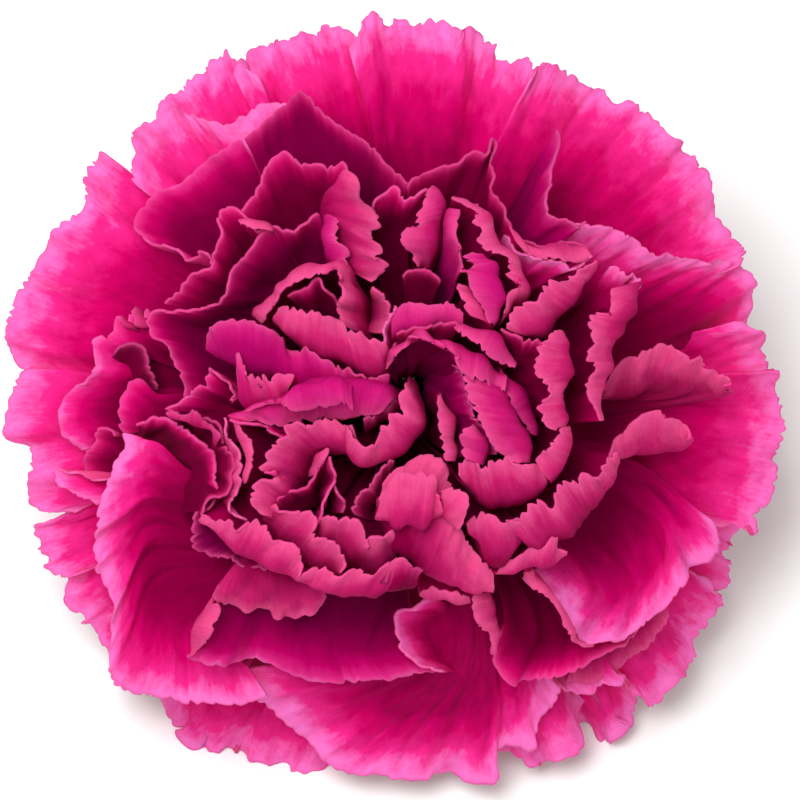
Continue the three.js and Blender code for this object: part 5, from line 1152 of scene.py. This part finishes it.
def make_petal(name, rows, sheet, look, shift, chance):
    """A petal: a sheet laid down, its pattern unrolled in centimetres, and its thickness. Its marks
    say which is the outer face, how close the rim is, for its pale edge with a painted highlight, and
    the depth in colour of the inside and of the outside, which is partly painted shade."""
    curled = name in TURNED_OVER or name in HEART and name not in STANDING
    grid, up, across, from_rim = petal_grid(rows, sheet, curled, chance)
    place = laid(grid.reshape(-1, 3))
    place[:, 2] = np.maximum(place[:, 2], TABLE_GAP * MM)
    piece = grid_piece("petal_" + name, place.reshape(grid.shape))
    corners = np.empty(len(piece.data.loops), int)
    piece.data.loops.foreach_get("vertex_index", corners)
    unrolled = np.stack(np.broadcast_arrays(across[None, :], up[:, None]), -1).reshape(-1, 2) / 10
    piece.data.uv_layers[0].data.foreach_set("uv", (unrolled + [shift, 0])[corners].ravel())
    thicken(piece, PETAL_THICK * MM)

    # the second half of the vertices are those of the sheet's back
    back = np.repeat([0.0, 1.0], from_rim.size)
    from_rim = np.tile(from_rim.ravel(), 2)
    # depth in colour, deep down and under a curled petal's brow, is partly painted shade
    mark(piece, "petal", np.stack([
        1 - back if curled else back,
        np.exp(-from_rim / EDGE_REACH),
        np.minimum((from_rim + (SHADE_UNDER_BROW if curled else 0)) / sheet.inside, 1),
        np.minimum(from_rim / sheet.outside, 1)], -1))
    tint = [PURPLES.get(name, 0), VIVIDS.get(name, 0), DEPTH_LIGHT_AND_SHADE.get(name, 0), 1]
    mark(piece, "tint", np.tile(tint, len(from_rim)))
    bpy.ops.object.shade_smooth()
    belong(piece, look, "petals")


def make_petals():
    look = petal_material()
    whorls = [(GUARDS, guard_rows, GUARD_SHEET), (MIDDLE, middle_rows, MIDDLE_SHEET),
              (HEART, heart_rows, HEART_SHEET)]
    for whorl, (petals, rows_of, sheet) in enumerate(whorls):
        for number, (name, petal) in enumerate(petals.items()):
            chance = np.random.default_rng(100 * whorl + number)
            make_petal(name, rows_of(petal), sheet, look, number * PATTERN_STEP, chance)


# ------------------------------------------------------------------------------------- green pieces
def put_in_place(piece, margin, look, node):
    """Lays a piece down, with its places in the bloom kept for its material, and how near each is to
    the margin of its leaf."""
    place = points_of(piece)
    mark(piece, "bloom", np.column_stack([place / 10, margin + 0 * place[:, 0]]))
    piece.data.vertices.foreach_set("co", laid(place).ravel())
    bpy.ops.object.shade_smooth_by_angle(angle=CREASE_ANGLE)
    belong(piece, look, node)


def tooth_share(place):
    """How high the calyx stands at each place, from 0 in its notches to 1 at the tips of its teeth."""
    turns = (np.arctan2(place[:, 1], place[:, 0]) / (2 * math.pi) + 1) * CALYX_TEETH
    return (1 - np.abs(2 * (turns % 1) - 1)) ** TOOTH_POINT


def make_calyx(look):
    """A tube that swells over its veins and ribs, with its top drawn down between the teeth."""
    piece = turned("calyx", CALYX_OUTSIDE, CALYX_SIDES, CALYX_RINGS, open_end=True)
    place = points_of(piece)
    angle = np.arctan2(place[:, 1], place[:, 0])
    up = np.clip(place[:, 2] / TOOTH_FOOT, 0, 1)
    share = tooth_share(place)
    above = np.maximum(place[:, 2] - TOOTH_FOOT, 0)
    swell = 1 + VEIN_SWELL * up * np.cos(CALYX_VEINS * angle) + RIB_SWELL * up * np.cos(CALYX_TEETH * angle)
    swell += DENT_SWELL * np.sin(3 * angle + 0.4 * place[:, 2]) + TIP_FLARE * share * (above / 4) ** 2
    place[:, :2] *= swell[:, None]
    place[:, 2] += above * (TOOTH_NOTCH + (1 - TOOTH_NOTCH) * share) - above
    piece.data.vertices.foreach_set("co", place.ravel())
    thicken(piece, CALYX_THICK)
    place = points_of(piece)
    share = tooth_share(place)
    rim = TOOTH_FOOT + (TOOTH_TIP - TOOTH_FOOT) * (TOOTH_NOTCH + (1 - TOOTH_NOTCH) * share)
    margin = np.exp(-np.maximum(rim - place[:, 2], 0) / (TOOTH_MARGIN + share))
    put_in_place(piece, margin, look, "calyx")


def make_bract(number, look):
    """A scale that clasps the calyx, with a keel along its middle."""
    facing = (number + 0.5) * 2 * math.pi / BRACTS
    inner = number % 2
    up, across = np.linspace(0, 1, BRACT_ROWS), np.linspace(-1, 1, BRACT_COLUMNS)
    radius, height, share = along(BRACT_OUTLINE, up).T[:, :, None]
    angle = facing + across[None, :] * share * BRACT_HALF_WIDTH
    radius = radius - INNER_PAIR_SINK * inner + BRACT_KEEL * up[:, None] * (1 - np.abs(across)) ** 2
    radius = radius + BRACT_RIB * np.cos(14 * across)[None, :] * up[:, None]
    height = height + INNER_PAIR_RISE * inner * up[:, None] + 0 * angle
    grid = np.stack([radius * np.cos(angle), radius * np.sin(angle), height], -1)
    piece = grid_piece(f"bract_{number + 1}", grid)
    thicken(piece, BRACT_THICK)
    side = np.maximum(np.abs(across)[None, :], up[:, None] ** 3)
    margin = np.tile(np.clip(BRACT_MARGIN_STEEP * (side - BRACT_MARGIN), 0, 1).ravel(), 2)
    put_in_place(piece, margin, look, "bracts")


def make_pistil(look):
    piece = turned("ovary", OVARY_OUTLINE, OVARY_SIDES, PISTIL_RINGS)
    put_in_place(piece, 0, look, "pistil")
    for number, path in enumerate(STYLES):
        shares = np.linspace(0, 1, PISTIL_RINGS)
        radii = STYLE_RADIUS * np.interp(shares, *STYLE_TAPER)
        rings = np.column_stack([along(path, shares), radii])
        piece = drawn_out(f"style_{number + 1}", rings.tolist(), STYLE_SIDES)
        put_in_place(piece, 0, look, "pistil")


def make_green_pieces():
    leaf = leafy_material("calyx green", CALYX_SHADES)
    piece = turned("stem", STEM_OUTLINE, STEM_SIDES, STEM_RINGS)
    put_in_place(piece, 0, stem_material(), "stem")
    piece = turned("bract_collar", COLLAR_OUTLINE, STEM_SIDES, COLLAR_RINGS)
    put_in_place(piece, 0, leaf, "bracts")
    for number in range(BRACTS):
        make_bract(number, leaf)
    make_calyx(leaf)
    make_pistil(leafy_material("pistil green in painted shade", PISTIL_GREENS_IN_SHADE))


# ---------------------------------------------------------------------------------------- materials
class Nodes:
    """A material's node tree, added to node by node."""

    def __init__(self, name):
        self.material = bpy.data.materials.new(name)
        self.material.use_nodes = True
        self.tree = self.material.node_tree
        self.tree.nodes.clear()

    def add(self, kind, inputs=None, **settings):
        node = self.tree.nodes.new(kind)
        for key, value in settings.items():
            setattr(node, key, value)
        for key, value in (inputs or {}).items():
            self.set(node.inputs[key], value)
        return node

    def set(self, socket, value):
        if isinstance(value, bpy.types.NodeSocket):
            self.tree.links.new(value, socket)
        else:
            socket.default_value = (*value, 1) if socket.type == "RGBA" else value

    def math(self, operation, a, b, c=0, clamp=False):
        return self.add("ShaderNodeMath", {0: a, 1: b, 2: c}, operation=operation,
                        use_clamp=clamp).outputs[0]

    def swing(self, noise, size):
        """A noise made to swing about zero by a size."""
        return self.math("MULTIPLY", self.math("SUBTRACT", noise, 0.5), size)

    def mix(self, share, a, b, blend="MIX"):
        return self.add("ShaderNodeMix", {"Factor": share, 6: a, 7: b}, data_type="RGBA",
                        blend_type=blend).outputs[2]

    def ramp(self, value, stops):
        node = self.add("ShaderNodeValToRGB", {"Fac": value})
        band = node.color_ramp
        while len(band.elements) < len(stops):
            band.elements.new(0.5)
        for element, (place, colour) in zip(band.elements, stops):
            element.position = place
            element.color = (*colour, 1)
        return node.outputs["Color"]

    def tone(self, colour, light):
        """A colour made lighter or darker by a number."""
        grey = self.add("ShaderNodeCombineColor", {0: light, 1: light, 2: light}).outputs[0]
        return self.mix(1, colour, grey, "MULTIPLY")

    def attribute(self, name):
        return self.add("ShaderNodeAttribute", attribute_name=name)

    def channels(self, colour):
        return self.add("ShaderNodeSeparateColor", {0: colour}).outputs

    def noise(self, place, spots, detail, rough):
        """Noise with a number of spots to the centimetre along each way."""
        spread = self.add("ShaderNodeMapping", {"Vector": place, "Scale": spots})
        return self.add("ShaderNodeTexNoise", {"Vector": spread.outputs[0], "Scale": 1,
                        "Detail": detail, "Roughness": rough}).outputs["Fac"]

    def bump(self, height, strength, distance):
        return self.add("ShaderNodeBump", {"Strength": strength, "Distance": distance,
                                           "Height": height}).outputs[0]

    def finish(self, shader):
        self.add("ShaderNodeOutputMaterial", {"Surface": shader.outputs[0]})
        return self.material

    def waxy(self, colour, roughness, height, distance):
        """Finishes the material as a waxy green skin."""
        return self.finish(self.add("ShaderNodeBsdfPrincipled", {
            "Base Color": colour, "Roughness": roughness, "Specular IOR Level": 0.35,
            "Normal": self.bump(height, 0.4, distance)}))


def petal_material():
    """Velvety petal. Its inside goes from crimson deep down to pink at the rim, its outside is a
    duller pink, and fine fibres run up both. The crimson deep down is partly painted shade, some
    petals are made deeper or paler as painted shade or painted light, and the pale rim carries a
    painted highlight."""
    n = Nodes("petal flesh")
    place = n.add("ShaderNodeUVMap", uv_map="UVMap").outputs[0]
    marks = n.attribute("petal")
    outer, edge, depth = n.channels(marks.outputs["Color"])
    purple, vivid, deep = n.channels(n.attribute("tint").outputs["Color"])
    fibre = n.noise(place, FIBRES, 5, 0.65)
    hair = n.noise(place, HAIRS, 3, 0.5)
    patch = n.noise(place, PATCHES, 4, 0.6)
    cloud = n.noise(place, CLOUDS, 2, 0.5)
    grain = n.noise(place, GRAINS, 2, 0.6)

    spread = n.math("ADD", n.swing(fibre, FIBRE_SWING), n.swing(patch, PATCH_SWING))
    # deep makes a petal's colour deeper or paler: partly its own colour, partly painted shade or light
    more, start = n.math("ADD", 1, deep), n.math("MULTIPLY", deep, DEEP_START)
    depth = n.math("MULTIPLY_ADD", depth, more, start)
    outer_depth_and_shade = n.math("MULTIPLY_ADD", marks.outputs["Alpha"], more, start)
    inside = n.ramp(n.math("ADD", depth, spread), INSIDE)
    inside = n.mix(n.math("MULTIPLY", purple, PURPLE_SHARE), inside, PURPLE)
    outside = n.ramp(n.math("ADD", outer_depth_and_shade, spread), OUTSIDE)
    outside = n.mix(n.math("MULTIPLY", vivid, VIVID_SHARE), outside, VIVID)
    lines = n.math("MULTIPLY", n.math("SUBTRACT", hair, HAIR_START), HAIR_CONTRAST, clamp=True)
    outside = n.tone(outside, n.math("MULTIPLY_ADD", lines, HAIR_LIGHT, HAIRY_LEAST))
    colour = n.mix(outer, inside, outside)
    light = n.math("ADD", LIGHT_LEAST, n.math("MULTIPLY", n.math("ADD", fibre, grain), FINE_LIGHT))
    colour = n.tone(colour, n.math("MULTIPLY_ADD", cloud, CLOUD_LIGHT, light))
    # the pale rim, with a painted highlight along the edge
    colour = n.mix(n.math("MULTIPLY", edge, RIM_HIGHLIGHT_SHARE), colour, PALE_RIM_AND_HIGHLIGHT)

    height = n.math("ADD", n.math("MULTIPLY", fibre, 0.8), n.math("MULTIPLY", grain, 0.35))
    bump = n.bump(height, 0.35, 0.00012)
    flesh = n.add("ShaderNodeBsdfPrincipled", {
        "Base Color": colour, "Roughness": 0.6, "Specular IOR Level": 0.03, "Normal": bump,
        "Specular Tint": SHEEN, "Sheen Weight": 0.06, "Sheen Roughness": 0.4, "Sheen Tint": SHEEN})
    glow = n.add("ShaderNodeBsdfTranslucent", {"Color": colour, "Normal": bump})
    return n.finish(n.add("ShaderNodeMixShader", {0: GLOW_SHARE, 1: flesh.outputs[0], 2: glow.outputs[0]}))


def leafy_material(name, shades):
    """Waxy green with fine veins that run up the piece, and a dry, papery margin."""
    n = Nodes(name)
    marks = n.attribute("bloom")
    place, margin = marks.outputs["Vector"], marks.outputs["Alpha"]
    vein = n.noise(place, LEAF_VEINS, 4, 0.6)
    mottle = n.noise(place, LEAF_MOTTLE, 4, 0.6)
    speck = n.noise(place, LEAF_SPECKS, 2, 0.5)
    colour = n.ramp(n.math("ADD", n.math("MULTIPLY", vein, 0.6), n.math("MULTIPLY", mottle, 0.4)), shades)
    colour = n.tone(colour, n.math("MULTIPLY_ADD", speck, 0.3, 0.85))
    wax = n.math("MULTIPLY", n.math("SUBTRACT", mottle, 0.42), 1.6, clamp=True)
    colour = n.mix(wax, colour, WAX)
    colour = n.mix(n.math("MULTIPLY", margin, 0.8), colour, MARGIN_TAN)
    height = n.math("MULTIPLY_ADD", speck, 0.25, vein)
    return n.waxy(colour, n.math("MULTIPLY_ADD", mottle, 0.25, 0.38), height, 0.00015)


def stem_material():
    """Waxy green stem, with pale pith inside a ring of darker bundles on its cut end."""
    n = Nodes("stem green")
    place = n.attribute("bloom").outputs["Vector"]
    x, y, z = n.add("ShaderNodeSeparateXYZ", {0: place}).outputs
    radius = n.math("SQRT", n.math("ADD", n.math("MULTIPLY", x, x), n.math("MULTIPLY", y, y)), 0)
    vein = n.noise(place, STEM_VEINS, 4, 0.6)
    speck = n.noise(place, STEM_SPECKS, 2, 0.5)
    uneven = n.math("ADD", n.swing(speck, CUT_UNEVEN), radius)
    pith = n.ramp(n.math("DIVIDE", uneven, CUT_RAMP), CUT_STOPS)
    cut_end = n.math("LESS_THAN", z, (STUB_FOOT + CUT_DEPTH) / 10)
    colour = n.mix(cut_end, n.ramp(vein, STEM_SHADES), pith)
    colour = n.tone(colour, n.math("MULTIPLY_ADD", speck, 0.4, 0.8))
    height = n.math("MULTIPLY_ADD", speck, 0.5, vein)
    return n.waxy(colour, n.math("MULTIPLY_ADD", cut_end, 0.25, 0.5), height, 0.00012)


# -------------------------------------------------------------------------------------------- scene
def make_camera():
    """Looks straight into the face, along the bloom's axis."""
    camera = bpy.data.cameras.new("camera")
    camera.sensor_width = SENSOR
    camera.lens = SENSOR * VIEW_DISTANCE / VIEW_WIDTH
    camera.clip_start = 0.05
    holder = bpy.data.objects.new("camera", camera)
    place = LAY @ Vector((0, 0, VIEW_HEIGHT + VIEW_DISTANCE)) * MM
    holder.matrix_world = Matrix.Translation(place) @ TURN
    bpy.context.scene.collection.objects.link(holder)
    bpy.context.scene.camera = holder


def make_studio():
    """White light from all round, one soft lamp, and light that may go on from petal to petal."""
    world = bpy.data.worlds.new("studio")
    world.use_nodes = True
    world.node_tree.nodes["Background"].inputs["Color"].default_value = (1, 1, 1, 1)
    world.node_tree.nodes["Background"].inputs["Strength"].default_value = WORLD_LIGHT
    bpy.context.scene.world = world
    lamp = bpy.data.lights.new("key", "AREA")
    lamp.energy = LAMP_POWER
    lamp.size = LAMP_SIZE
    holder = bpy.data.objects.new("key", lamp)
    holder.location = LAY @ Vector(LAMP_PLACE) * MM
    holder.rotation_euler = (-holder.location).to_track_quat("-Z", "Y").to_euler()
    scene = bpy.context.scene
    scene.collection.objects.link(holder)
    scene.view_settings.view_transform = "Standard"
    scene.cycles.max_bounces = 10
    scene.cycles.diffuse_bounces = 8
    scene.cycles.transmission_bounces = 8


def make_table():
    bpy.ops.object.select_all(action="DESELECT")
    bpy.ops.mesh.primitive_plane_add(size=TABLE_SIZE)
    table = bpy.context.object
    table.name = "table"
    n = Nodes("pale table")
    paint = n.add("ShaderNodeBsdfPrincipled", {"Base Color": TABLE_GREY, "Roughness": 0.8,
                                               "Specular IOR Level": 0.2})
    table.data.materials.append(n.finish(paint))


make_camera()
make_studio()
make_table()
make_green_pieces()
make_petals()
